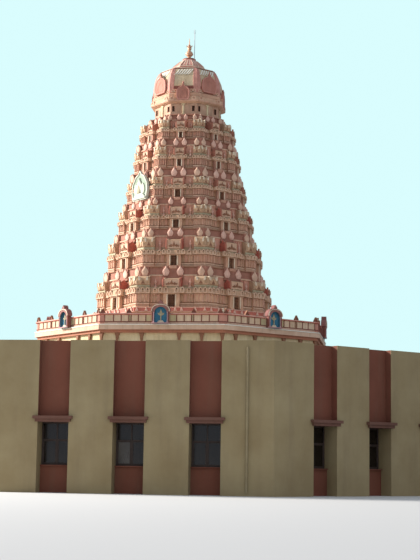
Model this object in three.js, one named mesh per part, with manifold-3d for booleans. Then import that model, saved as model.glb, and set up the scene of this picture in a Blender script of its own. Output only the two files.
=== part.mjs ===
// Octagonal Hindu temple: a broad ground storey with a flat roof, a low drum with a parapet
// and eight niches, and a six-tier tower that ends in an eight-sided dome with its finial.
// Millimetres, +Z up. The origin is on the tower's axis at ground level; side 0 faces -Y,
// and side k is turned by k eighths of a circle towards +X.

import * as THREE from "three";
import { mergeVertices } from "three/addons/utils/BufferGeometryUtils.js";
import Module from "manifold-3d";

const wasm = await Module();
wasm.setup();

// Shared dimensions
const SIDES = 8;
const GAP = 0.3; // clearance between neighbouring pieces
const WELD = 1e-3; // vertices closer than this are one
const FLAT = 0.01; // edges that bend less than this are dropped
const REACH = 400; // how far a cutting block runs past the surface it cuts
const ROUND_SIDES = 16;

// Ground storey
const WALL_FACE = 16560; // distance of the outer wall plane from the axis
const WALL_INNER = 15500;
const WALL_TOP = 7227;
const BAY_PITCH = 3636;
const BAYS = [-1, 0, 1];
const RECESS_HALF = 752;
const STRIP_DEPTH = 400; // coloured strip above the hood
const WINDOW_DEPTH = 750; // window zone below the hood
const SILL = 1300;
const HOOD_BASE = 3330;
const HOOD_TOP = 3610;
const HOOD_COURSES = [
  { half: 860, reach: 150, base: HOOD_BASE, top: 3470 },
  { half: 950, reach: 240, base: 3470, top: HOOD_TOP },
];
const DOOR_TOP = 2450;
const DOOR_SIDE = 4;
const GLASS_THICKNESS = 40;
const GLASS_MARGIN = 60;
const FLOOR_TOP = 150;

// Roof terrace and its supports
const ROOF_BASE = 6750;
const ROOF_TOP = 7000;
const LEDGE_PLANE = 15850; // the roof slab rests on a ledge inside the wall
const WELL_PLANE = 7150; // open well under the drum
const BEAM_OUTER = 8150;
const BEAM_BASE = 6150;
const PIER_RADIUS = 300;

// Downpipe on side 0
const PIPE_AT = 5620;
const PIPE_RADIUS = 55;
const PIPE_STANDOFF = 75;
const PIPE_BASE = 150;
const PIPE_TOP = 6900;
const PIPE_CLAMPS = [900, 3400, 6400];
const CLAMP_SIZE = 60;

// Drum
const DRUM_PLANE = 7950;
const DRUM_INNER = 7550;
const DRUM_TOP = 8390;
const CORNICE_STEP = 8550;
const CORNICE_TOP = 8850;
const MOULDING_PLANE = 8110;
const CORNICE_PLANE = 8234;
const PARAPET_OUTER = 8150;
const PARAPET_INNER = 7950;
const PARAPET_TOP = 9350;
const RAIL_TOP = 9440;
const RAIL_REACH = 50;
const DRUM_ROOF_TOP = 9050;

// Niche that stands against the middle of each parapet side
const NICHE_FACE = 8400;
const NICHE_BODY = 430; // half widths and heights of the body, its arched hood and its knob
const NICHE_HOOD = 520;
const NICHE_SPRING = 9500;
const NICHE_TOP = 10130;
const NICHE_HOOD_CURVE = [ // shares of its half width and of its height above the spring
  [1, 0], [1, 0.2], [0.85, 0.45], [0.55, 0.62], [0.2, 0.68], [0.16, 0.86], [0, 1],
];
const NICHE_ARCH_CURVE = [[1, 0.8], [0.8, 0.36], [0.4, 0.08], [0, 0]]; // shares of the half width
const NICHE_OPEN_HALF = 345;
const NICHE_OPEN_BASE = 8900;
const NICHE_OPEN_TOP = 9850;
const NICHE_OPEN_DEPTH = 150;

// Tower tiers, lowest first: plane of the middle bays; heights of the foot, the wall's top, the
// eave's top, the roofs' top and the band's top; doorway; half width of the band's middle block
const TIERS = [
  { plane: 5000, heights: [10120, 10900, 11270, 11950, 12500], door: [420, 720], block: 600 },
  { plane: 4450, heights: [12500, 13200, 13500, 14300, 14780], door: [370, 600], block: 460 },
  { plane: 3910, heights: [14780, 15370, 15600, 16250, 16660], door: [335, 510], block: 520 },
  { plane: 3470, heights: [16660, 17230, 17450, 18000, 18500], door: [310, 480], block: 410 },
  { plane: 3100, heights: [18500, 19100, 19300, 19900, 20330], door: [230, 440], block: 385 },
  { plane: 2780, heights: [20330, 20800, 21000, 21600, 21950], door: [190, 380], block: 315 },
].map(({ heights: [base, wallTop, eaveTop, roofTop, top], ...rest }) => ({
  ...rest, base, wallTop, eaveTop, roofTop, top,
}));
const TIER_WALL = 450; // wall thickness behind the middle bay's plane
const CORNER_SET = 120; // how far the corner bays stand behind the middle bay
const BAY_STEP = 240; // how far the wall between the bays stands behind it
const CENTRE_BAY = 0.093; // half width of the middle bay, as a share of the plane distance
const CORNER_BAY = 0.158; // width of the corner bay along a side, as a share of the plane
const FOOT_HEIGHT = 90;
const FOOT_REACH = 50;
const PLINTH_REACH = 110; // lowest tier's plinth
const PLINTH_BASE = 9860;
const LINTEL = 40;
const EAVE_REACH = 100;
const EAVE_SPREADS = [0.045, 0.01]; // past a middle and a corner bay, as shares of the plane
const EAVE_CURVE = [[0, 0], [1, 0.15], [0.8, 0.6], [-0.3, 1]]; // shares of its reach and rise
const SHRINE_CURVE = [ // [mm from the corner bay's plane, share of the roof's height]
  [-40, 0], [-40, 0.24], [30, 0.32], [45, 0.52], [15, 0.74], [-80, 0.9], [-250, 1],
];
const VAULT_CURVE = [[1, 0], [1, 0.5], [0.66, 0.82], [0, 1]]; // shares of half depth and height
const VAULT_RISE = 0.78; // crown of the vault over the middle bay, as a share of the roof's height
const VAULT_END = [0.86, 1.08]; // its gable ends along the side, as shares of the bay's half width
const END_MARGIN = 40; // how far a gable end stands out of the vault
const BAND_REACH = 120; // the band's blocks against the next tier's middle bay
const BAND_STEP = 90;
const BLOCK_BASE = 0.8; // foot of the band's middle block, as a share of the roof's height
const CORNER_BLOCK = 0.1; // width of its corner blocks along a side, as a share of the plane
const TOP_BAND_PLANE = 2220;

// Neck, dome and finial
const NECK_PLANE = 1900;
const NECK_INNER = 1550;
const NECK_TOP = 22720;
const NECK_NICHE_HALF = 80;
const NECK_NICHE_BASE = 22230;
const NECK_NICHE_TOP = 22560;
const NECK_NICHE_DEPTH = 120;
const NECK_NICHE_AT = 600;
const NECK_CORNICE_TOP = 23330;
const NECK_CORNICE_CURVE = [ // [plane, height above the neck]
  [1960, GAP], [2130, 60], [2160, 180], [2070, 400], [2050, 470], [2050, NECK_CORNICE_TOP - NECK_TOP],
];
const GABLE_BACK = 2030;
const LOW_GABLE = { half: 410, base: 22870, height: 1040, face: 2170 };
const HIGH_GABLE = { half: 550, base: 23420, height: 1190, face: 2110 };
const GABLE_CURVE = [ // shares of its half width and height
  [0.8, 0], [0.98, 0.15], [1, 0.4], [0.9, 0.62], [0.6, 0.76], [0.22, 0.82], [0.12, 0.9], [0, 1],
];
const DOME_BASE = 23330;
const DOME_TOP = 25230;
const DOME_SHELL = 180;
const DOME_CURVE = [ // [plane, height above the dome's foot]
  [1960, GAP], [2000, 230], [1995, 570], [1950, 890], [1870, 1230], [1730, 1530], [1480, 1730],
  [1150, 1850], [880, DOME_TOP - DOME_BASE],
];
const CAP_TOP = 25950;
const CAP_CURVE = [ // [plane, height above the dome]
  [960, GAP], [985, 60], [930, 170], [830, 270], [680, 420], [520, 560], [400, 640],
  [380, CAP_TOP - DOME_TOP],
];
const FINIAL_CURVE = [ // [radius, height above the cap]
  [160, GAP], [150, 40], [80, 130], [110, 200], [200, 280], [235, 370], [205, 470], [110, 560], [60, 610],
  [118, 680], [118, 720], [50, 780], [40, 850], [95, 920], [32, 980], [26, 1150], [12, 1370],
];
const ROD_OFFSET = 320;
const ROD_RADIUS = 22;
const ROD_TOP = 27870;

const SIDE_ANGLE = (2 * Math.PI) / SIDES;
const HALF_SIDE = Math.tan(SIDE_ANGLE / 2); // half a side's length for a plane at distance 1
const CORNER = 1 / Math.cos(SIDE_ANGLE / 2); // corner radius for a plane at distance 1

const finish = (color, roughness, metalness = 0) => ({ color, roughness, metalness });

const BEIGE = finish(0xa8987a, 0.9);
const CREAM = finish(0xcdbd98, 0.85);
const PINK = finish(0xb98474, 0.85);
const SALMON = finish(0xa8705c, 0.88);
const CONCRETE = finish(0x8f8a80, 0.92);
const GLASS = finish(0x1f2320, 0.2);
const GOLD = finish(0xb48c4a, 0.4, 0.8);
const STEEL = finish(0x7d8084, 0.45, 0.9);

const temple = new THREE.Group();
temple.name = "temple";

/** Closed solid from a three.js geometry. */
function solid(geometry) {
  const bare = new THREE.BufferGeometry();
  bare.setAttribute("position", geometry.getAttribute("position"));
  bare.setIndex(geometry.index);
  const merged = mergeVertices(bare, WELD);
  const index = merged.index.array;
  const kept = [];
  for (let i = 0; i < index.length; i += 3) {
    const [a, b, c] = [index[i], index[i + 1], index[i + 2]];
    if (a !== b && b !== c && c !== a) kept.push(a, b, c);
  }
  return new wasm.Manifold(
    new wasm.Mesh({
      numProp: 3,
      vertProperties: merged.getAttribute("position").array,
      triVerts: Uint32Array.from(kept),
    }),
  );
}

/** Adds a solid to the temple as one named piece. */
function place(name, body, look) {
  const data = body.asOriginal().simplify(FLAT).getMesh();
  const geometry = new THREE.BufferGeometry();
  geometry.setAttribute("position", new THREE.BufferAttribute(data.vertProperties, 3));
  geometry.setIndex(new THREE.BufferAttribute(data.triVerts, 1));
  geometry.computeVertexNormals();
  const mesh = new THREE.Mesh(geometry, new THREE.MeshStandardMaterial(look));
  mesh.name = name;
  temple.add(mesh);
}

const join = (bodies) => bodies.reduce((whole, body) => whole.add(body));
const cut = (body, tools) => tools.reduce((rest, tool) => rest.subtract(tool), body);
const turned = (geometry, side) => geometry.clone().rotateZ(side * SIDE_ANGLE);
const sides = Array.from({ length: SIDES }, (_, side) => side);

/** The same geometry on every side, as solids. */
const onEverySide = (geometry) => sides.map((side) => solid(turned(geometry, side)));

/** Block on side 0: x along the side, plane distances outwards, heights. */
function block([x0, x1], [near, far], [z0, z1]) {
  const box = new THREE.BoxGeometry(x1 - x0, far - near, z1 - z0);
  return box.translate((x0 + x1) / 2, -(near + far) / 2, (z0 + z1) / 2);
}

/** Outline of [a, b] points as a slab from 0 to a depth. */
function slab(outline, depth) {
  const shape = new THREE.Shape(outline.map(([a, b]) => new THREE.Vector2(a, b)));
  return new THREE.ExtrudeGeometry(shape, { depth, bevelEnabled: false });
}

/** Upright outline of [x, z] points on side 0, extruded outwards between two planes. */
function panel(outline, near, far) {
  return slab(outline, far - near).rotateX(Math.PI / 2).translate(0, -near, 0);
}

/** Section of [plane distance, z] points on side 0, extruded along the side. */
function bar(section, [x0, x1]) {
  return slab(section, x1 - x0).rotateX(Math.PI / 2).rotateZ(-Math.PI / 2).translate(x1, 0, 0);
}

/** Lathed solid from a closed profile of [radius, height] points. */
function lathe(profile, segments, start = 0) {
  const points = profile.map(([r, z]) => new THREE.Vector2(r, z));
  points.push(points[0].clone());
  const turn = new THREE.LatheGeometry(points, segments, start, 2 * Math.PI);
  return solid(turn.rotateX(Math.PI / 2));
}

/** Eight-sided ring or shell from a closed profile of [plane distance, height] points. */
function octagon(profile) {
  const corners = profile.map(([plane, z]) => [plane * CORNER, z]);
  return lathe(corners, SIDES, SIDE_ANGLE / 2);
}

/** Section of a straight wall between two planes and two heights. */
const upright = (inner, outer, z0, z1) => [[inner, z0], [outer, z0], [outer, z1], [inner, z1]];

/** Plain eight-sided ring between two planes and two heights. */
const ring = (inner, outer, z0, z1) => octagon(upright(inner, outer, z0, z1));

/** Profile closed at an inner plane, from its outer points listed upwards. */
function closed(inner, points) {
  return [[inner, points[0][1]], ...points, [inner, points[points.length - 1][1]]];
}

/** Curve of [plane, height] points lifted to its foot. */
const lifted = (curve, foot) => curve.map(([plane, z]) => [plane, foot + z]);

/** Outline mirrored about x = 0, from its right half listed upwards. */
function mirrored(half) {
  const left = half.filter(([x]) => x > 0).map(([x, z]) => [-x, z]);
  return [...half, ...left.reverse()];
}

// Ground storey
function wallSegment(side) {
  const trim = GAP / 2 / Math.cos(SIDE_ANGLE / 2);
  const inner = WALL_INNER * HALF_SIDE - trim;
  const outer = WALL_FACE * HALF_SIDE - trim;
  const plan = [[-inner, -WALL_INNER], [-outer, -WALL_FACE], [outer, -WALL_FACE], [inner, -WALL_INNER]];
  const ledge = block(
    [-WALL_FACE, WALL_FACE],
    [WALL_INNER - REACH, LEDGE_PLANE],
    [ROOF_BASE, WALL_TOP + REACH],
  );
  const tools = [ledge];
  const hoods = [];
  for (const bay of BAYS) {
    const x = bay * BAY_PITCH;
    const opening = [x - RECESS_HALF, x + RECESS_HALF];
    const doorway = side === DOOR_SIDE && bay === 0;
    tools.push(
      block(opening, [WALL_FACE - WINDOW_DEPTH, WALL_FACE + REACH], [-REACH, HOOD_BASE]),
      block(opening, [WALL_FACE - STRIP_DEPTH, WALL_FACE + REACH], [HOOD_TOP, WALL_TOP + REACH]),
      block(opening, [WALL_INNER - REACH, WALL_FACE], [doorway ? -REACH : SILL, HOOD_BASE]),
    );
    for (const { half, reach, base, top } of HOOD_COURSES) {
      hoods.push(block([x - half, x + half], [WALL_FACE - STRIP_DEPTH, WALL_FACE + reach], [base, top]));
    }
  }
  const toSide = (geometry) => solid(turned(geometry, side));
  return join([cut(toSide(slab(plan, WALL_TOP)), tools.map(toSide)), ...hoods.map(toSide)]);
}

/** Glazing against the inner wall plane, closing one side's windows. */
function glazing(side) {
  const half = BAY_PITCH + RECESS_HALF + GLASS_MARGIN;
  const planes = [WALL_INNER - GAP - GLASS_THICKNESS, WALL_INNER - GAP];
  const heights = [SILL - GLASS_MARGIN, HOOD_BASE + GLASS_MARGIN];
  const sheet = solid(turned(block([-half, half], planes, heights), side));
  if (side !== DOOR_SIDE) return sheet;
  const passage = [WALL_INNER - REACH, WALL_INNER + REACH];
  return cut(sheet, [solid(turned(block([-RECESS_HALF, RECESS_HALF], passage, [0, DOOR_TOP]), side))]);
}

for (const side of sides) {
  place(`ground_wall_${side + 1}`, wallSegment(side), BEIGE);
  place(`window_glazing_${side + 1}`, glazing(side), GLASS);
}

place("ground_floor", ring(0, WALL_INNER - GAP, 0, FLOOR_TOP), CONCRETE);
place("roof_terrace", ring(WELL_PLANE, LEDGE_PLANE - GAP, ROOF_BASE + GAP, ROOF_TOP), CONCRETE);

const pierRadius = ((WELL_PLANE + BEAM_OUTER) / 2) * CORNER;
const pier = new THREE.CylinderGeometry(PIER_RADIUS, PIER_RADIUS, BEAM_BASE - FLOOR_TOP, ROUND_SIDES)
  .rotateX(Math.PI / 2)
  .translate(0, -pierRadius, (BEAM_BASE + FLOOR_TOP) / 2 + GAP)
  .rotateZ(SIDE_ANGLE / 2);
const beam = ring(WELL_PLANE, BEAM_OUTER, BEAM_BASE, ROOF_BASE);
place("drum_support", join([beam, ...onEverySide(pier)]), CREAM);

const pipeAxis = WALL_FACE + PIPE_STANDOFF;
const pipe = new THREE.CylinderGeometry(PIPE_RADIUS, PIPE_RADIUS, PIPE_TOP - PIPE_BASE, ROUND_SIDES)
  .rotateX(Math.PI / 2)
  .translate(PIPE_AT, -pipeAxis, (PIPE_TOP + PIPE_BASE) / 2);
const clamps = PIPE_CLAMPS.map((z) =>
  block(
    [PIPE_AT - CLAMP_SIZE, PIPE_AT + CLAMP_SIZE],
    [WALL_FACE + GAP, pipeAxis],
    [z - CLAMP_SIZE / 2, z + CLAMP_SIZE / 2],
  ),
);
place("downpipe", join([pipe, ...clamps].map(solid)), CREAM);

// Drum
const corniceFoot = DRUM_TOP + GAP;
place("drum_wall", ring(DRUM_INNER, DRUM_PLANE, ROOF_TOP + GAP, DRUM_TOP), CREAM);
place(
  "drum_cornice",
  octagon([
    [DRUM_INNER, corniceFoot],
    [MOULDING_PLANE, corniceFoot],
    [MOULDING_PLANE, CORNICE_STEP],
    [CORNICE_PLANE, CORNICE_STEP],
    [CORNICE_PLANE, CORNICE_TOP],
    [DRUM_INNER, CORNICE_TOP],
  ]),
  CREAM,
);
place(
  "drum_roof",
  ring(TIERS[0].plane - TIER_WALL, PARAPET_INNER - GAP, CORNICE_TOP + GAP, DRUM_ROOF_TOP),
  CONCRETE,
);

const parapetFoot = CORNICE_TOP + GAP;
const railPlane = PARAPET_OUTER + RAIL_REACH;
const parapet = join([
  ring(PARAPET_INNER, PARAPET_OUTER, parapetFoot, RAIL_TOP),
  ring(PARAPET_INNER, railPlane, PARAPET_TOP, RAIL_TOP),
]);
const railGap = block(
  [-NICHE_HOOD - GAP, NICHE_HOOD + GAP],
  [PARAPET_OUTER, railPlane + REACH],
  [parapetFoot, RAIL_TOP + REACH],
);
place("drum_parapet", cut(parapet, onEverySide(railGap)), CREAM);

const hood = NICHE_HOOD_CURVE.map(([x, z]) => [
  NICHE_HOOD * x,
  NICHE_SPRING + (NICHE_TOP - NICHE_SPRING) * z,
]);
const nicheOutline = mirrored([[NICHE_BODY, parapetFoot], [NICHE_BODY, NICHE_SPRING], ...hood]);
const arch = NICHE_ARCH_CURVE.map(([x, z]) => [
  NICHE_OPEN_HALF * x,
  NICHE_OPEN_TOP - NICHE_OPEN_HALF * z,
]);
const nicheOpening = mirrored([[NICHE_OPEN_HALF, NICHE_OPEN_BASE], ...arch]);
const nicheBody = panel(nicheOutline, PARAPET_OUTER + GAP, NICHE_FACE);
const nicheHollow = panel(nicheOpening, NICHE_FACE - NICHE_OPEN_DEPTH, NICHE_FACE + REACH);
for (const side of sides) {
  const toSide = (geometry) => solid(turned(geometry, side));
  place(`niche_${side + 1}`, cut(toSide(nicheBody), [toSide(nicheHollow)]), PINK);
}

// Tower tiers
/** Keeps only the corner bays of a body, cutting a span away on every side. */
function cornersOnly(body, half, reach, [z0, z1]) {
  return cut(body, onEverySide(block([-half, half], [0, reach], [z0, z1])));
}

/** Course round a tier from a profile for each face: its bays stand out of the wall between them. */
function course({ plane }, profile, [centreSpread, cornerSpread] = [0, 0]) {
  const centre = plane * (CENTRE_BAY + centreSpread);
  const corner = plane * (HALF_SIDE - CORNER_BAY - cornerSpread);
  const heights = profile(plane).map(([, z]) => z);
  const span = [Math.min(...heights) - REACH, Math.max(...heights) + REACH];
  return join([
    octagon(profile(plane - BAY_STEP)),
    cornersOnly(octagon(profile(plane - CORNER_SET)), corner, plane + REACH, span),
    ...onEverySide(bar(profile(plane), [-centre, centre])),
  ]);
}

function tierWall(tier, lowest) {
  const { plane, base, wallTop, door } = tier;
  const inner = plane - TIER_WALL;
  const straight = (reach, z0, z1) => (face) => upright(inner, face + reach, z0, z1);
  const parts = [
    course(tier, straight(0, base + GAP, wallTop)),
    course(tier, straight(FOOT_REACH, base + GAP, base + FOOT_HEIGHT)),
  ];
  if (lowest) {
    parts.push(ring(inner, plane, DRUM_ROOF_TOP + GAP, base + GAP));
    parts.push(ring(inner, plane + PLINTH_REACH, PLINTH_BASE, base));
  }
  const [width, height] = door;
  const doorTop = wallTop - LINTEL;
  const doorway = block(
    [-width / 2, width / 2],
    [inner - REACH, plane + REACH],
    [doorTop - height, doorTop],
  );
  return cut(join(parts), onEverySide(doorway));
}

/** Section of a pointed vault between two planes. */
function vault(near, far, foot, rise) {
  const half = (far - near) / 2;
  const arch = mirrored(VAULT_CURVE.map(([x, z]) => [half * x, foot + rise * z]));
  return arch.map(([x, z]) => [near + half + x, z]);
}

/** Eave, the shrine roofs of the bays, and the band with its blocks that carries the next tier. */
function tierCornice(tier, next, bandPlane) {
  const { plane, wallTop, eaveTop, roofTop, top } = tier;
  const rise = eaveTop - wallTop;
  const roof = roofTop - eaveTop;
  const foot = wallTop + GAP;
  const reach = plane + REACH;
  const eaveCurve = EAVE_CURVE.map(([a, b]) => [EAVE_REACH * a, foot + (rise - GAP) * b]);
  const eave = (face) => closed(next, eaveCurve.map(([out, z]) => [face + out, z]));

  const corner = plane * (HALF_SIDE - CORNER_BAY);
  const cornerPlane = plane - CORNER_SET;
  const shrine = SHRINE_CURVE.map(([a, b]) => [cornerPlane + a, eaveTop - GAP + roof * b]);
  const shrines = cornersOnly(octagon(closed(next, shrine)), corner, reach, [wallTop, top]);

  const centre = plane * CENTRE_BAY;
  const corePlane = bandPlane - BAND_STEP;
  const vaultFoot = eaveTop - GAP;
  const crown = roof * VAULT_RISE;
  const barrel = bar(vault(corePlane - GAP, plane - END_MARGIN, vaultFoot, crown), [-centre, centre]);
  const gableEnd = vault(corePlane - GAP, plane, vaultFoot, crown + END_MARGIN);
  const endSpan = VAULT_END.map((share) => centre * share);
  const ends = [endSpan, endSpan.map((x) => -x).reverse()].map((span) => bar(gableEnd, span));

  const core = ring(next, corePlane, foot + rise / 2, top);
  const middle = block(
    [-tier.block, tier.block],
    [corePlane - BAND_STEP, bandPlane],
    [eaveTop + roof * BLOCK_BASE, top],
  );
  const bandRing = ring(next, bandPlane, roofTop - GAP, top);
  const cornerBlock = bandPlane * HALF_SIDE - plane * CORNER_BLOCK;
  const corners = cornersOnly(bandRing, cornerBlock, reach, [wallTop, top + REACH]);
  const repeated = [barrel, ...ends, middle].flatMap(onEverySide);
  return join([course(tier, eave, EAVE_SPREADS), shrines, core, corners, ...repeated]);
}

TIERS.forEach((tier, i) => {
  const above = TIERS[i + 1];
  const next = above ? above.plane - TIER_WALL : NECK_INNER;
  const bandPlane = above ? above.plane + BAND_REACH : TOP_BAND_PLANE;
  place(`tier_${i + 1}_wall`, tierWall(tier, i === 0), SALMON);
  place(`tier_${i + 1}_cornice`, tierCornice(tier, next, bandPlane), PINK);
});

// Neck, dome and finial
const neckBase = TIERS[TIERS.length - 1].top + GAP;
const neckNiches = [-NECK_NICHE_AT, NECK_NICHE_AT].flatMap((x) =>
  onEverySide(
    block(
      [x - NECK_NICHE_HALF, x + NECK_NICHE_HALF],
      [NECK_PLANE - NECK_NICHE_DEPTH, NECK_PLANE + REACH],
      [NECK_NICHE_BASE, NECK_NICHE_TOP],
    ),
  ),
);
place("neck", cut(ring(NECK_INNER, NECK_PLANE, neckBase, NECK_TOP), neckNiches), SALMON);

/** Arched gable with a pointed crown. */
function gable({ half, base, height, face }, near) {
  return panel(mirrored(GABLE_CURVE.map(([x, z]) => [half * x, base + height * z])), near, face);
}

const everyOther = (geometry, first) =>
  sides.filter((side) => side % 2 === first).map((side) => solid(turned(geometry, side)));

const neckCornice = octagon(closed(NECK_INNER, lifted(NECK_CORNICE_CURVE, NECK_TOP)));
place("neck_cornice", join([neckCornice, ...everyOther(gable(LOW_GABLE, GABLE_BACK), 0)]), CREAM);

const domeOutside = lifted(DOME_CURVE, DOME_BASE);
const domeInside = domeOutside.map(([plane, z], i) => [
  plane - DOME_SHELL,
  i === 0 ? z : z - (i / domeOutside.length) * DOME_SHELL,
]);
const dome = octagon([...domeOutside, ...domeInside.reverse()]);
const domeHollow = ring(0, DOME_CURVE[0][0] - DOME_SHELL / 2, DOME_BASE - REACH, DOME_TOP);
const highGables = cut(join(everyOther(gable(HIGH_GABLE, GABLE_BACK - REACH), 1)), [domeHollow]);
place("dome", dome.add(highGables), CREAM);

place("lotus_cap", octagon(closed(0, lifted(CAP_CURVE, DOME_TOP))), PINK);
place("finial", lathe(closed(0, lifted(FINIAL_CURVE, CAP_TOP)), ROUND_SIDES), GOLD);
const rod = new THREE.CylinderGeometry(ROD_RADIUS, ROD_RADIUS, ROD_TOP - CAP_TOP - GAP, SIDES)
  .rotateX(Math.PI / 2)
  .translate(ROD_OFFSET, 0, (ROD_TOP + CAP_TOP + GAP) / 2);
place("lightning_rod", solid(rod), STEEL);

export default temple;
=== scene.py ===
"""Look of an octagonal Hindu temple: hall, drum, six-tier tower and eight-sided dome.

Metres, +Z up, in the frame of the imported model: the tower's axis is at x = y = 0, side 0
faces -Y, and side k is turned by k eighths of a circle towards +X. Every sub-assembly is a
class that models its trim on side 0 and repeats it round the axis. A plane is the distance of
a side's flat face from the axis. A step of a plate's front is its (margin, rise).
"""

from __future__ import annotations

import logging
import math
from dataclasses import dataclass, field
from enum import Enum

import bpy
from mathutils import Matrix, Vector

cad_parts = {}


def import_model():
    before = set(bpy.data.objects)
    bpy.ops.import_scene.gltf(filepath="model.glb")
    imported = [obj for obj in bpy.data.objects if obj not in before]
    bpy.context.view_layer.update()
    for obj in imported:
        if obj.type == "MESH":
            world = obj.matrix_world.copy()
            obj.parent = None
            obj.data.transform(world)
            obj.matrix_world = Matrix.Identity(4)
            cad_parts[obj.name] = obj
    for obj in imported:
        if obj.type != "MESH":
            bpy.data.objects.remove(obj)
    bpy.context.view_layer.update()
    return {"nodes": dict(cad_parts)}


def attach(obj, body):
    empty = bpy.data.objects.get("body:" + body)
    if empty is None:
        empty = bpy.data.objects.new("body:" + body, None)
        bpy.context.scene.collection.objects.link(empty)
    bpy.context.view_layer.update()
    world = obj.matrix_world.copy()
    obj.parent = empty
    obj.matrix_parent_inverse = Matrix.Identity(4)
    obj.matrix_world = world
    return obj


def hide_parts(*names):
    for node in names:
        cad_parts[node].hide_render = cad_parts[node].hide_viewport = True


LOG = logging.getLogger("temple")
BODY = "root"
SIDES = 8
ALL_SIDES = tuple(range(SIDES))
SIDE_ANGLE = math.tau / SIDES
HALF_SIDE = math.tan(SIDE_ANGLE / 2)  # half a side's length for a plane at distance 1
CORNER = 1 / math.cos(SIDE_ANGLE / 2)  # corner radius for a plane at distance 1
TO_CORNER = Matrix.Rotation(SIDE_ANGLE / 2, 4, "Z")
SKIN = 0.004  # how far thin trim is set into what carries it
SEED = 0.01  # size of the plane that an outline is drawn from
SMOOTH_ANGLE = math.radians(40)
STREAKED = (1, 1, 0.12)  # how rain streaks squeeze the noise
GRAIN_SCALE = 38.0
NOISE_LOW, NOISE_HIGH = 0.32, 0.68  # range of the noise that is spread from 0 to 1
OUTWARD = -0.99  # Y of a normal that looks outwards on side 0
SAME_PLANE = 1e-5
BOTH = (-1, 1)

Point = tuple[float, float]
Triple = tuple[float, float, float]
Shape = tuple[Point, ...]
Piece = bpy.types.Object
Socket = bpy.types.NodeSocket
Node = bpy.types.Node


class Slot(Enum):
    """Material slots of the record."""

    BEIGE = "plaster_beige"
    CREAM = "plaster_cream"
    PINK = "plaster_pink"
    GLASS = "window_glass"
    GOLD = "finial_gold"
    STEEL = "rod_steel"


def linear(hex_colour: str) -> tuple[float, float, float, float]:
    """Turns a display colour such as A8987A into Blender's linear one."""
    parts = [int(hex_colour[i:i + 2], 16) / 255 for i in (0, 2, 4)]
    return tuple(c / 12.92 if c < 0.04045 else ((c + 0.055) / 1.055) ** 2.4 for c in parts) + (1.0,)


class Graph:
    """Short calls for building a node tree."""

    def __init__(self, tree: bpy.types.NodeTree) -> None:
        """Keeps the tree to build in."""
        self.tree = tree

    def feed(self, node: Node, place: int | str, value: object) -> None:
        """Links a socket to an input, or sets a plain value on it."""
        if isinstance(value, Socket):
            self.tree.links.new(value, node.inputs[place])
        else:
            node.inputs[place].default_value = value

    def node(self, kind: str, inputs: dict[int | str, object], **values: object) -> Node:
        """Adds a node.

        Args:
            kind: node type, without the ShaderNode prefix.
            inputs: a socket or plain value for each input, by number or name.
            values: its properties by name.

        Returns:
            The node.
        """
        made = self.tree.nodes.new("ShaderNode" + kind)
        for key, value in values.items():
            setattr(made, key, value)
        for place, value in inputs.items():
            self.feed(made, place, value)
        return made

    def maths(self, operation: str, a: object, b: object = 0.0) -> Socket:
        """Adds a Math node on one or two sockets or numbers and returns its output."""
        return self.node("Math", {0: a, 1: b}, operation=operation).outputs[0]

    def mix(self, share: object, first: object, second: object, blend: str = "MIX") -> Socket:
        """Mixes two colours.

        Args:
            share: socket or number from 0 to 1.
            first: colour or socket at 0.
            second: colour or socket at 1.
            blend: blend type.

        Returns:
            The mixed colour.
        """
        inputs = {0: share, 6: first, 7: second}
        return self.node("Mix", inputs, data_type="RGBA", blend_type=blend).outputs[2]


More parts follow.
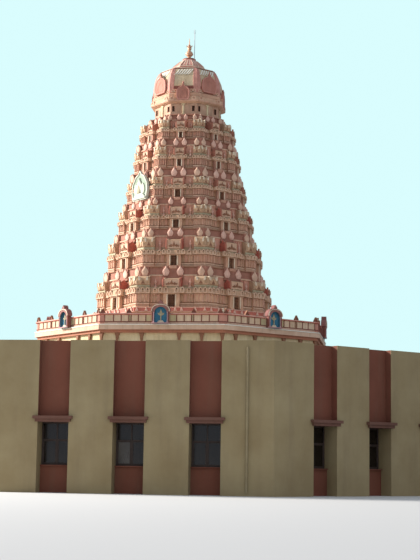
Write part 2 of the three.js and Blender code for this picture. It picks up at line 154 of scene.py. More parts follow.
class Effects:
    """Node groups that several finishes share, each built once."""

    @staticmethod
    def start(name: str, sizes: tuple[str, ...], outputs: tuple[str, ...]) -> tuple[Graph, Node, Node]:
        """Starts a group with a Vector input and named number inputs and outputs.

        Args:
            name: group name.
            sizes: names of its number inputs.
            outputs: names of its number outputs.

        Returns:
            The graph, its input node and its output node.
        """
        tree = bpy.data.node_groups.new(name, "ShaderNodeTree")
        tree.interface.new_socket("Vector", in_out="INPUT", socket_type="NodeSocketVector")
        for way, labels in (("INPUT", sizes), ("OUTPUT", outputs)):
            for label in labels:
                tree.interface.new_socket(label, in_out=way, socket_type="NodeSocketFloat")
        return Graph(tree), tree.nodes.new("NodeGroupInput"), tree.nodes.new("NodeGroupOutput")

    @staticmethod
    def weathering() -> bpy.types.NodeTree:
        """Blotches, vertical rain streaks and fine grain of painted plaster."""
        name = "weathering"
        if name in bpy.data.node_groups:
            return bpy.data.node_groups[name]
        sizes, outputs = ("Blotch Size", "Streak Size"), ("Blotches", "Streaks", "Grain")
        graph, start, end = Effects.start(name, sizes, outputs)
        vector, blotch, streak = start.outputs[:3]
        squeezed = graph.node("Mapping", {"Scale": STREAKED, "Vector": vector}).outputs[0]
        for label, place, scale, detail in (
            ("Blotches", vector, graph.maths("DIVIDE", 1.0, blotch), 5),
            ("Streaks", squeezed, graph.maths("DIVIDE", 4.0, streak), 3),
            ("Grain", vector, GRAIN_SCALE, 4),
        ):
            inputs = {"Detail": detail, "Roughness": 0.6, "Vector": place, "Scale": scale}
            noise = graph.node("TexNoise", inputs).outputs[0]
            spread = graph.node("MapRange", {"From Min": NOISE_LOW, "From Max": NOISE_HIGH, "Value": noise})
            graph.feed(end, label, spread.outputs[0])
        return graph.tree

    @staticmethod
    def octagon() -> bpy.types.NodeTree:
        """Distance of a point from the axis to the plane of its side, place along it, and height."""
        name = "octagon"
        if name in bpy.data.node_groups:
            return bpy.data.node_groups[name]
        graph, start, end = Effects.start(name, (), ("Distance", "Along", "Height"))
        parts = graph.node("SeparateXYZ", {0: start.outputs["Vector"]}).outputs
        x, y = (graph.maths("ABSOLUTE", part) for part in parts[:2])
        slanted = graph.maths("MULTIPLY", graph.maths("ADD", x, y), math.sqrt(0.5))
        across = graph.maths("ABSOLUTE", graph.maths("SUBTRACT", x, y))
        across = graph.maths("MULTIPLY", across, math.sqrt(0.5))
        graph.feed(end, "Distance", graph.maths("MAXIMUM", graph.maths("MAXIMUM", x, y), slanted))
        graph.feed(end, "Along", graph.maths("MINIMUM", across, graph.maths("MINIMUM", x, y)))
        graph.feed(end, "Height", parts[2])
        return graph.tree


@dataclass(frozen=True)
class Cell:
    """One painted colour between two heights, two planes and two places along a side.

    Attributes:
        colour: display colour.
        low: lower height.
        high: upper height.
        near: inner plane.
        far: outer plane.
        start: distance from the middle of the side where it starts.
        end: distance from the middle of the side where it ends.
    """

    colour: str
    low: float | None = None
    high: float | None = None
    near: float | None = None
    far: float | None = None
    start: float | None = None
    end: float | None = None

    def mask(self, graph: Graph, measure: Node) -> object:
        """Builds the mask of the cell.

        Args:
            graph: graph of the material.
            measure: node of the octagon group.

        Returns:
            A socket that is 1 inside the cell and 0 outside.
        """
        share: object = 1.0
        limits = (self.low, self.high), (self.near, self.far), (self.start, self.end)
        for label, pair in zip(("Height", "Distance", "Along"), limits):
            for operation, limit in zip(("GREATER_THAN", "LESS_THAN"), pair):
                if limit is not None:
                    inside = graph.maths(operation, measure.outputs[label], limit)
                    share = graph.maths("MULTIPLY", inside, share)
        return share


@dataclass(frozen=True)
class Finish:
    """What every finish has.

    Attributes:
        name: finish name.
        colour: main display colour.
        second: display colour of its variation, which plaster multiplies over the first.
    """

    name: str
    colour: str
    second: str

    def build(self) -> bpy.types.Material:
        """Builds the material once and returns the same one on later calls."""
        if self.name not in bpy.data.materials:
            material = bpy.data.materials.new(self.name)
            material.use_nodes = True
            graph = Graph(material.node_tree)
            place = graph.node("TexCoord", {}).outputs["Object"]
            self.wire(graph, place, graph.tree.nodes["Principled BSDF"])
        return bpy.data.materials[self.name]

    def weather(self, graph: Graph, place: Socket, size: float) -> bpy.types.NodeOutputs:
        """Adds the weathering group at one size and returns its outputs."""
        inputs = {"Vector": place, "Blotch Size": size, "Streak Size": size}
        return graph.node("Group", inputs, node_tree=Effects.weathering()).outputs


@dataclass(frozen=True)
class Plaster(Finish):
    """Painted plaster with blotches, rain streaks and a fine grain.

    Attributes:
        blotch: size of the blotches in metres.
        staining: how much of the rain streaks shows.
        stain: colour of the rain streaks.
        wear: how much of the second colour shows.
        roughness: surface roughness.
        relief: height of the grain.
        cells: colours painted over the main one, in order.
    """

    blotch: float = 0.8
    staining: float = 0.3
    stain: str = "6B5A48"
    wear: float = 0.45
    roughness: float = 0.86
    relief: float = 0.25
    cells: tuple[Cell, ...] = ()

    def wire(self, graph: Graph, place: Socket, surface: Node) -> None:
        """Wires the plaster's colour, roughness and grain to its shader."""
        colour: object = linear(self.colour)
        if self.cells:
            measure = graph.node("Group", {}, node_tree=Effects.octagon())
            graph.feed(measure, "Vector", place)
            for cell in self.cells:
                colour = graph.mix(cell.mask(graph, measure), colour, linear(cell.colour))
        effect = self.weather(graph, place, self.blotch)
        shade = graph.mix(1.0, colour, linear(self.second), "MULTIPLY")
        colour = graph.mix(graph.maths("MULTIPLY", effect["Blotches"], self.wear), colour, shade)
        streaks = graph.maths("MULTIPLY", graph.maths("POWER", effect["Streaks"], 2.0), self.staining)
        graph.feed(surface, "Base Color", graph.mix(streaks, colour, linear(self.stain)))
        grain = graph.maths("MULTIPLY", effect["Grain"], 0.1)
        graph.feed(surface, "Roughness", graph.maths("ADD", grain, self.roughness - 0.05))
        bump = graph.node("Bump", {"Strength": self.relief, "Distance": 0.01, "Height": effect["Grain"]})
        graph.feed(surface, "Normal", bump.outputs[0])


@dataclass(frozen=True)
class Solid(Finish):
    """Metal, wood or glass with a fine variation of colour and roughness.

    Attributes:
        roughness: surface roughness.
        metallic: 1 for metal.
        transmission: share of light that passes, for glass.
        grain: size of the variation in metres.
    """

    roughness: float
    metallic: float = 0.0
    transmission: float = 0.0
    grain: float = 0.1

    def wire(self, graph: Graph, place: Socket, surface: Node) -> None:
        """Wires the material's colour and roughness to its shader."""
        graph.feed(surface, "Metallic", self.metallic)
        graph.feed(surface, "Transmission Weight", self.transmission)
        effect = self.weather(graph, place, self.grain)
        colour = graph.mix(effect["Blotches"], linear(self.colour), linear(self.second))
        graph.feed(surface, "Base Color", colour)
        streaks = graph.maths("MULTIPLY", effect["Streaks"], 0.12)
        graph.feed(surface, "Roughness", graph.maths("ADD", streaks, self.roughness))


class Paint:
    """Finishes of the temple."""

    WALL = Plaster("wall_beige", "9C8C69", "C6B69C", 2.4, 0.2, wear=0.5, cells=(
        Cell("7C4735", low=3.5, high=7.22, near=16.0, far=16.54),
        Cell("7C4735", high=1.31, near=15.52, far=15.83),
        Cell("6E4A3E", low=3.3, high=3.65, near=16.57),
        Cell("6E4A3E", low=3.325, high=3.62, near=15.52, far=16.55),
    ))
    STRIP = Plaster("strip_red", "7C4735", "B89A90", 1.6, 0.22)
    CREAM = Plaster("cream_trim", "DCCBA6", "C9B69A", 0.6, 0.26)
    PANEL = Plaster("panel_cream", "DEC2A6", "C9B69A", 0.6, 0.22)
    PALE = Plaster("pale_trim", "E8D6BE", "CDBBA4", 0.5, 0.2)
    WHITE = Plaster("white_relief", "EDE9DE", "DAD6CC", 0.5, 0.14)
    CHALK = Plaster("chalk_relief", "CBCDBF", "BEC0B4", 0.5, 0.14)
    MIST = Plaster("pale_green", "98A693", "A4AC9C", 0.4, 0.14)
    SHELL = Plaster("shell_trim", "DDBBA0", "CBAA94", 0.5, 0.24)
    FLESH = Plaster("soft_pilaster", "D8AC94", "CBAA94", 0.5, 0.24)
    BUFF = Plaster("buff_shrine", "D2AC8A", "BBA28C", 0.5, 0.28)
    SAGE = Plaster("sage_green", "BAB094", "B8AE94", 0.5, 0.26)
    BUD = Plaster("pink_bud", "E2B9A6", "D4B2A4", 0.3, 0.16)
    PETAL = Plaster("tan_bud", "DBB79F", "CBB09C", 0.3, 0.18)
    ROSE = Plaster("rose_wall", "CC9C84", "C4A392", 0.7, 0.28)
    RED = Plaster("red_band", "B8584A", "B58E86", 0.8, 0.24)
    VIVID = Plaster("vivid_red", "B4604F", "B58E86", 0.5, 0.2)
    CLAY = Plaster("clay_edge", "B47862", "B58E86", 0.5, 0.2)
    MAROON = Plaster("maroon_line", "8A5044", "A88880", 0.5, 0.2)
    BROWN = Plaster("brown_line", "96684E", "AC907E", 0.5, 0.22)
    MAUVE = Plaster("mauve_hood", "9C6C66", "B09490", 0.5, 0.2)
    LILAC = Plaster("lilac_post", "C29A9C", "BEA4A4", 0.4, 0.18)
    GABLE = Plaster("gable_brown", "BA7D6C", "B09488", 0.6, 0.2)
    CAP = Plaster("cap_pink", "CE9385", "C29C90", 0.4)
    # Painted shade: dark brown for the sunk hollows of the eave's small arches.
    PAINTED_SHADE = Plaster("painted_shade_hollow", "6A4A36", "8A7466", 0.4, 0.1)
    BLUE = Plaster("niche_blue", "3E7C98", "8FB0BC", 0.25, 0.12)
    SCREED = Plaster("roof_screed", "C9C2B4", "C4BCAE", 1.8, 0.2, "7A746A", wear=0.5)
    FLOOR = Plaster("floor_screed", "9A948A", "B0A89C", 1.2, stain="5A544C", wear=0.4)
    PIPE = Plaster("pipe_paint", "9A8C6C", "C0B498", 0.5, relief=0.1)
    CORNICE = Plaster("drum_cornice_paint", "D8B8A0", "CDB7A4", 0.9, 0.2,
                      cells=(Cell("B4785E", high=8.551),))
    PARAPET = Plaster("parapet_paint", "CFC19A", "C9B69A", 0.7, 0.26, cells=(
        Cell("D9B8A4", high=8.95), Cell("E2B6A6", low=9.345), Cell("CE9484", start=3.12),
    ))
    NICHE = Plaster("niche_paint", "94605A", "B09490", 0.4, 0.22, cells=(
        Cell("3E7C98", high=9.5, near=8.395, end=0.425), Cell("3E7C98", high=9.84, near=8.2, end=0.35),
    ))
    # Painted shade: the sunk niche backs inside the neck's plane are painted dark brown.
    NECK = Plaster("neck_paint", "C8A68C", "BE9A86", 0.5, cells=(Cell("5A4030", far=1.895),))
    ROLL = Plaster("roll_paint", "D6AE90", "C4A28C", 0.5, 0.32, cells=(
        Cell("BA7D6C", low=23.335), Cell("BA7D6C", near=2.163),
    ))
    DOME = Plaster("dome_paint", "D2BE9E", "C6B29A", 0.7, 0.28, cells=(
        Cell("B9806E", high=23.6), Cell("96604F", low=23.6, high=23.78), Cell("CE9385", low=25.07),
        Cell("B87868", near=2.012), Cell("BA7D6C", near=2.106),
    ))
    BOARD = Solid("bar_timber", "8A5E44", "74503A", 0.7, grain=0.15)
    TIMBER = Solid("window_timber", "2E211C", "3A2A22", 0.55, grain=0.15)
    GLASS = Solid("dark_glass", "1C1613", "241C18", 0.1, transmission=0.3, grain=0.8)
    # Painted reflection: a lighter grey glass for one pane in each middle window.
    REFLECTING = Solid("glass_painted_reflection", "58524C", "45403B", 0.25, transmission=0.2, grain=0.5)
    GOLD = Solid("gilt_paint", "D9AE8A", "C08E76", 0.42, metallic=0.25, grain=0.12)
    STEEL = Solid("rod_steel", "80858A", "6C7075", 0.4, metallic=1.0)


# Modelling moves that every sub-assembly uses
def clear() -> None:
    """Leaves edit mode and deselects everything."""
    if bpy.context.object and bpy.context.object.mode != "OBJECT":
        bpy.ops.object.mode_set(mode="OBJECT")
    bpy.ops.object.select_all(action="DESELECT")


def choose(piece: Piece) -> None:
    """Selects one piece and makes it the active one."""
    clear()
    piece.select_set(True)
    bpy.context.view_layer.objects.active = piece


def settle(*finishes: Finish) -> Piece:
    """Moves the new primitive's place into its mesh and gives it its finishes."""
    piece = bpy.context.object
    bpy.ops.object.transform_apply(location=True, rotation=True, scale=True)
    for finish in finishes:
        piece.data.materials.append(finish.build())
    return piece


def edit(piece: Piece, mode: str = "FACE", action: str = "SELECT") -> None:
    """Opens edit mode on one piece.

    Args:
        piece: object to edit.
        mode: VERT, EDGE or FACE selection.
        action: SELECT to start with everything selected, DESELECT with nothing.
    """
    choose(piece)
    bpy.ops.object.mode_set(mode="EDIT")
    bpy.ops.mesh.select_mode(type=mode)
    bpy.ops.mesh.select_all(action=action)


def push(move: Triple) -> None:
    """Extrudes the selected faces by a move."""
    bpy.ops.mesh.extrude_region_move(TRANSFORM_OT_translate={"value": move})


def outwards(piece: Piece) -> None:
    """Turns all faces of a closed piece outwards."""
    edit(piece)
    bpy.ops.mesh.normals_make_consistent(inside=False)
    clear()


def pick_front(piece: Piece) -> None:
    """Selects the flat face that looks outwards on side 0 and lies furthest out."""
    edit(piece, action="DESELECT")
    bpy.ops.object.mode_set(mode="OBJECT")
    fronts = [face for face in piece.data.polygons if face.normal.y < OUTWARD]
    edge = min(face.center.y for face in fronts)
    for face in fronts:
        face.select = face.center.y < edge + SAME_PLANE
    bpy.ops.object.mode_set(mode="EDIT")


def slab(paint: Finish, size: Triple, centre: Triple, bevel: float = 0.01) -> Piece:
    """Makes a block with eased edges.

    Args:
        paint: its finish.
        size: full size along X, Y and Z.
        centre: middle of the block.
        bevel: width of the eased edges.

    Returns:
        The new object.
    """
    clear()
    bpy.ops.mesh.primitive_cube_add(size=1, location=centre, scale=size)
    piece = settle(paint)
    edit(piece, "EDGE")
    bpy.ops.mesh.bevel(offset=bevel, segments=1, affect="EDGES")
    clear()
    return piece


def course(paint: Finish, plane: float, z: float, section: Point, inset: float,
           bevel: float, extra: float = 0.0) -> Piece:
    """Makes a level bar along the whole of side 0.

    Args:
        paint: its finish.
        plane: plane that its length follows.
        z: its middle height.
        section: its depth and height.
        inset: how far its middle lies behind the plane.
        bevel: width of the eased edges.
        extra: what is added to its length.

    Returns:
        The bar.
    """
    size = (2 * plane * HALF_SIDE + extra, *section)
    return slab(paint, size, (0, inset - plane, z), bevel)


def trace(paint: Finish, first: Triple, level: bool, moves: list[Triple]) -> Piece:
    """Draws an outline point by point and fills it.

    Args:
        paint: its finish.
        first: place of its first point.
        level: whether it lies flat rather than upright on side 0.
        moves: step to each next point.

    Returns:
        The new object, in edit mode with everything selected.
    """
    clear()
    turn = (0.0 if level else math.pi / 2, 0, 0)
    bpy.ops.mesh.primitive_plane_add(size=SEED, location=first, rotation=turn)
    piece = settle(paint)
    edit(piece, "VERT")
    bpy.ops.mesh.merge(type="CENTER")
    bpy.ops.mesh.select_all(action="SELECT")
    for move in moves:
        bpy.ops.mesh.extrude_vertices_move(TRANSFORM_OT_translate={"value": move})
    bpy.ops.mesh.select_all(action="SELECT")
    bpy.ops.mesh.edge_face_add()
    bpy.ops.mesh.select_mode(type="FACE")
    bpy.ops.mesh.select_all(action="SELECT")
    return piece


def plate(paint: Finish, outline: list[Point], near: float, far: float, *steps: Point,
          inner: Finish | None = None) -> Piece:
    """Draws an outline on side 0, thickens it and steps its front inwards in the same shape.

    Args:
        paint: its finish.
        outline: (x, z) points round the plate.
        near: plane of its back.
        far: plane of its front.
        steps: (margin, rise) of each step of the front, a negative rise sinks it.
        inner: finish of the last step's face, where it differs.

    Returns:
        The new object.
    """
    x, z = outline[0]
    moves = [(x1 - x0, 0.0, z1 - z0) for (x0, z0), (x1, z1) in zip(outline, outline[1:])]
    piece = trace(paint, (x, -near, z), False, moves)
    push((0, near - far, 0))
    outwards(piece)
    if steps:
        pick_front(piece)
    xs, zs = zip(*outline)
    middle = Vector(((max(xs) + min(xs)) / 2, 0, (max(zs) + min(zs)) / 2))
    wide, tall = max(xs) - min(xs), max(zs) - min(zs)
    for margin, rise in steps:
        push((0, -rise, 0))
        ratio = (1 - 2 * margin / wide, 1, 1 - 2 * margin / tall)
        bpy.ops.transform.resize(value=ratio, center_override=middle)
        wide, tall = wide - 2 * margin, tall - 2 * margin
    if inner:
        piece.data.materials.append(inner.build())
        piece.active_material_index = 1
        bpy.ops.object.material_slot_assign()
    clear()
    return piece


def swept(paint: Finish, section: list[Point], path: list[tuple[float, float, float, float]]) -> Piece:
    """Draws a level section on side 0 and extrudes it along a rising path.

    Args:
        paint: its finish.
        section: (x, out) points round the section.
        path: (along the side, plane, height, width) stops, the width as a share of the section's.

    Returns:
        The new closed object.
    """
    along, plane, z, _ = path[0]
    x, out = section[0]
    moves = [(x1 - x0, y0 - y1, 0.0) for (x0, y0), (x1, y1) in zip(section, section[1:])]
    piece = trace(paint, (along + x, -(plane + out), z), True, moves)
    for (a0, p0, z0, w0), (a1, p1, z1, w1) in zip(path, path[1:]):
        push((a1 - a0, p0 - p1, z1 - z0))
        bpy.ops.transform.resize(value=(w1 / w0, 1, 1), center_override=Vector((a1, 0, 0)))
    outwards(piece)
    return piece


def turned(paint: Finish, profile: list[Point], steps: int, centre: Point = (0.0, 0.0)) -> Piece:
    """Extrudes and scales a disc along a profile about an upright axis.

    Args:
        paint: its finish.
        profile: (radius, z) points from the bottom to the top.
        steps: number of sides.
        centre: x and y of the axis.

    Returns:
        The new closed object.
    """
    clear()
    radius, low = profile[0]
    bpy.ops.mesh.primitive_circle_add(vertices=steps, radius=radius, fill_type="NGON",
                                      location=(*centre, low))
    piece = settle(paint)
    edit(piece)
    for (r0, z0), (r1, z1) in zip(profile, profile[1:]):
        push((0, 0, z1 - z0))
        bpy.ops.transform.resize(value=(r1 / r0, r1 / r0, 1), center_override=Vector((*centre, 0)))
    outwards(piece)
    return piece


def copies(piece: Piece, places: list[Matrix]) -> list[Piece]:
    """Copies a modelled piece to places, each copy with its own mesh, and removes the model."""
    made = []
    for place in places:
        twin = piece.copy()
        twin.data = piece.data.copy()
        twin.data.transform(place)
        bpy.context.collection.objects.link(twin)
        made.append(twin)
    bpy.data.objects.remove(piece, do_unlink=True)
    return made


def scattered(piece: Piece, spots: list[Point]) -> list[Piece]:
    """Copies a piece to several (shift along side 0, shift outwards) places."""
    return copies(piece, [Matrix.Translation((along, -out, 0)) for along, out in spots])


def row(piece: Piece, *stops: float) -> list[Piece]:
    """Copies a piece to several places along side 0."""
    return scattered(piece, [(stop, 0.0) for stop in stops])


def handed(piece: Piece) -> list[Piece]:
    """Adds the mirror image of a piece on the other half of side 0."""
    pair = copies(piece, [Matrix.Identity(4), Matrix.Scale(-1, 4, (1, 0, 0))])
    outwards(pair[1])
    return pair


def joined(name: str, parts: list[Piece]) -> Piece:
    """Joins several parts into one piece."""
    clear()
    for part in parts:
        part.select_set(True)
    bpy.context.view_layer.objects.active = parts[0]
    if len(parts) > 1:
        bpy.ops.object.join()
    piece = bpy.context.object
    piece.name = piece.data.name = name
    return piece


def both(stops: tuple[float, ...]) -> list[float]:
    """Repeats places along a side on its other half."""
    return [side * stop for stop in stops for side in BOTH]


def mirrored(half: list[Point]) -> list[Point]:
    """Completes an outline from its right half, listed upwards with x of zero or more."""
    return half + [(-x, z) for x, z in reversed(half) if x > 0]


def arched(outer: list[Point], inner: list[Point]) -> list[Point]:
    """Outline of an arch's band from its right half: outer edge upwards, inner edge downwards."""
    left = [(-x, z) for x, z in reversed(outer[:-1])] + [(-x, z) for x, z in reversed(inner)]
    return outer + left + inner[1:]


def scaled(shape: Shape, width: float, height: float, base: float, at: float = 0.0) -> list[Point]:
    """Sizes a unit outline.

    Args:
        shape: right half of an outline, x from 0 to 0.5 and z from 0 to 1.
        width: full width.
        height: full height.
        base: height of its foot.
        at: place of its middle along the side.

    Returns:
        The whole outline at its size.
    """
    return [(at + x, z) for x, z in mirrored([(x * width, base + z * height) for x, z in shape])]


def oblong(half: float, low: float, high: float, at: float = 0.0) -> list[Point]:
    """Outline of a rectangle from its half width, its foot and its head."""
    return [(at + half, low), (at + half, high), (at - half, high), (at - half, low)]


# Right halves of traditional outlines, one unit wide and high
BUD = ((0.24, 0.0), (0.38, 0.13), (0.5, 0.4), (0.37, 0.6), (0.17, 0.78), (0.08, 0.89), (0.0, 1.0))
ARCH = ((0.42, 0.0), (0.5, 0.3), (0.46, 0.56), (0.28, 0.8), (0.1, 0.88), (0.0, 1.0))
LEAF = ((0.3, 0.0), (0.5, 0.25), (0.5, 0.5), (0.3, 0.78), (0.0, 1.0))
GABLE = ((0.4, 0.0), (0.49, 0.15), (0.5, 0.4), (0.45, 0.62), (0.3, 0.76), (0.11, 0.82), (0.06, 0.9),
         (0.0, 1.0))
PEAK = ((0.5, 0.0), (0.28, 0.35), (0.1, 0.62), (0.0, 1.0))
TENT = ((0.5, 0.0), (0.46, 0.3), (0.2, 0.68), (0.0, 1.0))
SPIKE = ((0.5, 0.0), (0.3, 0.4), (0.1, 0.76), (0.0, 1.0))
FLAME = ((-0.2, 0.0), (0.3, 0.0), (0.5, 0.3), (0.42, 0.62), (0.62, 1.0), (0.12, 0.86), (-0.12, 0.5))
# (radius, height) profiles: knobs in metres, and a pot whose heights are shares of its roof's
CORNER_KNOB = ((0.06, 0.0), (0.05, 0.04), (0.085, 0.1), (0.08, 0.16), (0.035, 0.21), (0.042, 0.24),
               (0.01, 0.3))
GABLE_KNOB = ((0.045, -0.03), (0.035, 0.0), (0.06, 0.05), (0.045, 0.1), (0.01, 0.17))
POT = ((0.11, 0.0), (0.1, 0.14), (0.04, 0.2), (0.04, 0.34), (0.08, 0.42), (0.085, 0.52), (0.03, 0.6),
       (0.04, 0.66))


@dataclass
class Assembly:
    """What every sub-assembly shares.

    Attributes:
        nodes: nodes of the frame by name.
    """

    nodes: dict[str, Piece] = field(repr=False)

    def finish(self, piece: Piece, slot: Slot, smooth: bool = False) -> Piece:
        """Lets a finished piece ride on the building.

        Args:
            piece: finished object.
            slot: record slot; not used.
            smooth: whether its soft edges are shaded smooth.

        Returns:
            The same piece.
        """
        if smooth:
            choose(piece)
            bpy.ops.object.shade_smooth_by_angle(angle=SMOOTH_ANGLE)
        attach(piece, BODY)
        LOG.info("%s: %d faces", piece.name, len(piece.data.polygons))
        return piece

    def repeat(self, name: str, slot: Slot, parts: list[Piece], sides: tuple[int, ...] = ALL_SIDES,
               smooth: bool = False) -> Piece:
        """Repeats the parts of side 0 on other sides as one finished piece.

        Args:
            name: piece name.
            slot: record slot, handed on to finish.
            parts: parts modelled on side 0.
            sides: sides that get a copy.
            smooth: whether its soft edges are shaded smooth.

        Returns:
            The piece.
        """
        turns = [Matrix.Rotation(side * SIDE_ANGLE, 4, "Z") for side in sides]
        units = copies(joined(name, parts), turns)
        return self.finish(joined(name, units), slot, smooth)

    def dress(self, **paints: Finish) -> None:
        """Gives nodes of the frame their finishes."""
        for name, paint in paints.items():
            node = self.nodes[name]
            if not node.material_slots:
                node.data.materials.append(None)
            for slot in node.material_slots:
                slot.material = paint.build()


@dataclass
class GroundStorey(Assembly):
    """Broad hall: framed windows, sills and a rear doorway."""

    panel_plane: float = 15.81
    bay_pitch: float = 3.636
    recess_half: float = 0.752
    floor_top: float = 0.15
    sill: float = 1.30
    hood_base: float = 3.33
    door_top: float = 2.45
    door_side: int = 4
    frame_plane: float = 15.62
    frame_width: float = 0.07
    frame_depth: float = 0.09
    leaf_width: float = 0.045
    leaf_out: float = 0.01
    transom_at: float = 2.50
    ease: float = 0.008

    def timber(self, x: float, z: float, wide: float, tall: float, depth: float = 1.0) -> Piece:
        """Models one timber of a window.

        Args:
            x: its middle along the side.
            z: its middle height.
            wide: its width.
            tall: its height.
            depth: its depth as a share of the frame's, a half for a leaf, which also stands out.

        Returns:
            The timber.
        """
        leaf = depth == 0.5
        out, ease = (self.leaf_out, self.ease / 2) if leaf else (0.0, self.ease)
        size = (wide, self.frame_depth * depth, tall)
        return slab(Paint.TIMBER, size, (x, -(self.frame_plane + out), z), ease)

    def uprights(self, low: float, *stops: float) -> list[Piece]:
        """Models upright timbers of a frame, up to the hood."""
        middle, tall = (low + self.hood_base) / 2, self.hood_base - low
        return [self.timber(x, middle, self.frame_width, tall) for x in stops]

    def rails(self, *heights: float) -> list[Piece]:
        """Models level timbers of a frame."""
        wide = 2 * (self.recess_half - self.frame_width)
        return [self.timber(0.0, z, wide, self.frame_width, 0.9) for z in heights]

    def leaf(self, x: float, half: float) -> list[Piece]:
        """Models the four timbers of one leaf from its middle and its half width."""
        low, high = self.sill + self.frame_width, self.transom_at - self.frame_width / 2
        wide, middle = self.leaf_width, (low + high) / 2
        parts = []
        for side in BOTH:
            shift, rise = side * (half - wide / 2), side * (high - low - wide) / 2
            parts += [self.timber(x + shift, middle, wide, high - low, 0.5),
                      self.timber(x, middle + rise, 2 * (half - wide), wide, 0.5)]
        return parts

    def bars(self, doorway: bool) -> list[Piece]:
        """Models a window's frame and leaves, or the frame and fanlight of the open doorway."""
        wide = self.frame_width
        edge, half, head = self.recess_half - wide / 2, self.recess_half - wide, self.hood_base - wide / 2
        if doorway:
            parts = self.uprights(self.floor_top, -edge, edge) + self.uprights(self.door_top, 0.0)
            return parts + self.rails(self.door_top + wide / 2, head)
        parts = self.uprights(self.sill, -edge, 0.0, edge)
        parts += self.rails(self.sill + wide / 2, self.transom_at, head)
        for side in BOTH:
            parts += self.leaf(side * (half + wide / 2) / 2, (half - wide / 2) / 2)
        return parts

    def panes(self, stop: float, low: float) -> list[Piece]:
        """Models the panes below and above the transom, with a lighter one in each side's middle window whose
        colour is a painted reflection.
        """
        half = (self.recess_half - self.frame_width / 2) / 2
        made = []
        for side in BOTH:
            # The lower left pane of each middle window gets the painted reflection.
            lower = Paint.REFLECTING if side < 0 and stop == 0.0 else Paint.GLASS
            for paint, foot, head in ((lower, low, self.transom_at),
                                      (Paint.GLASS, self.transom_at, self.hood_base - self.frame_width / 2)):
                centre = (stop + side * half, -(self.frame_plane + 0.005), (foot + head) / 2)
                made.append(slab(paint, (2 * half, 0.008, head - foot), centre, 0.002))
        return made

    def windows(self) -> None:
        """Models the windows of each side and lets them stand for its glazing sheet."""
        for side in range(SIDES):
            frames, panes = [], []
            for stop in (-self.bay_pitch, 0.0, self.bay_pitch):
                doorway = side == self.door_side and stop == 0.0
                frames += row(joined("bars", self.bars(doorway)), stop)
                panes += self.panes(stop, self.door_top + self.frame_width / 2 if doorway else self.sill)
            self.repeat(f"window_frames_{side + 1}", Slot.GLASS, frames, (side,))
            glass = self.repeat(f"window_panes_{side + 1}", Slot.GLASS, panes, (side,))
            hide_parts(f"window_glazing_{side + 1}")

    def sills(self) -> None:
        """Models a thin sill under each window."""
        front = tuple(side for side in range(SIDES) if side != self.door_side)
        for name, stops, sides in (("window_sills", (-self.bay_pitch, 0.0, self.bay_pitch), front),
                                   ("rear_sills", (-self.bay_pitch, self.bay_pitch), (self.door_side,))):
            sill = slab(Paint.STRIP, (2 * self.recess_half - 0.01, 0.2, 0.05),
                        (0, -(self.panel_plane + 0.04), self.sill - 0.02))
            self.repeat(name, Slot.BEIGE, row(sill, *stops), sides)

    def build(self) -> None:
        """Builds and dresses the ground storey."""
        self.windows()
        self.sills()
        self.dress(**{f"ground_wall_{side + 1}": Paint.WALL for side in range(SIDES)})
        self.dress(ground_floor=Paint.FLOOR, roof_terrace=Paint.SCREED, drum_support=Paint.CREAM,
                   downpipe=Paint.PIPE)


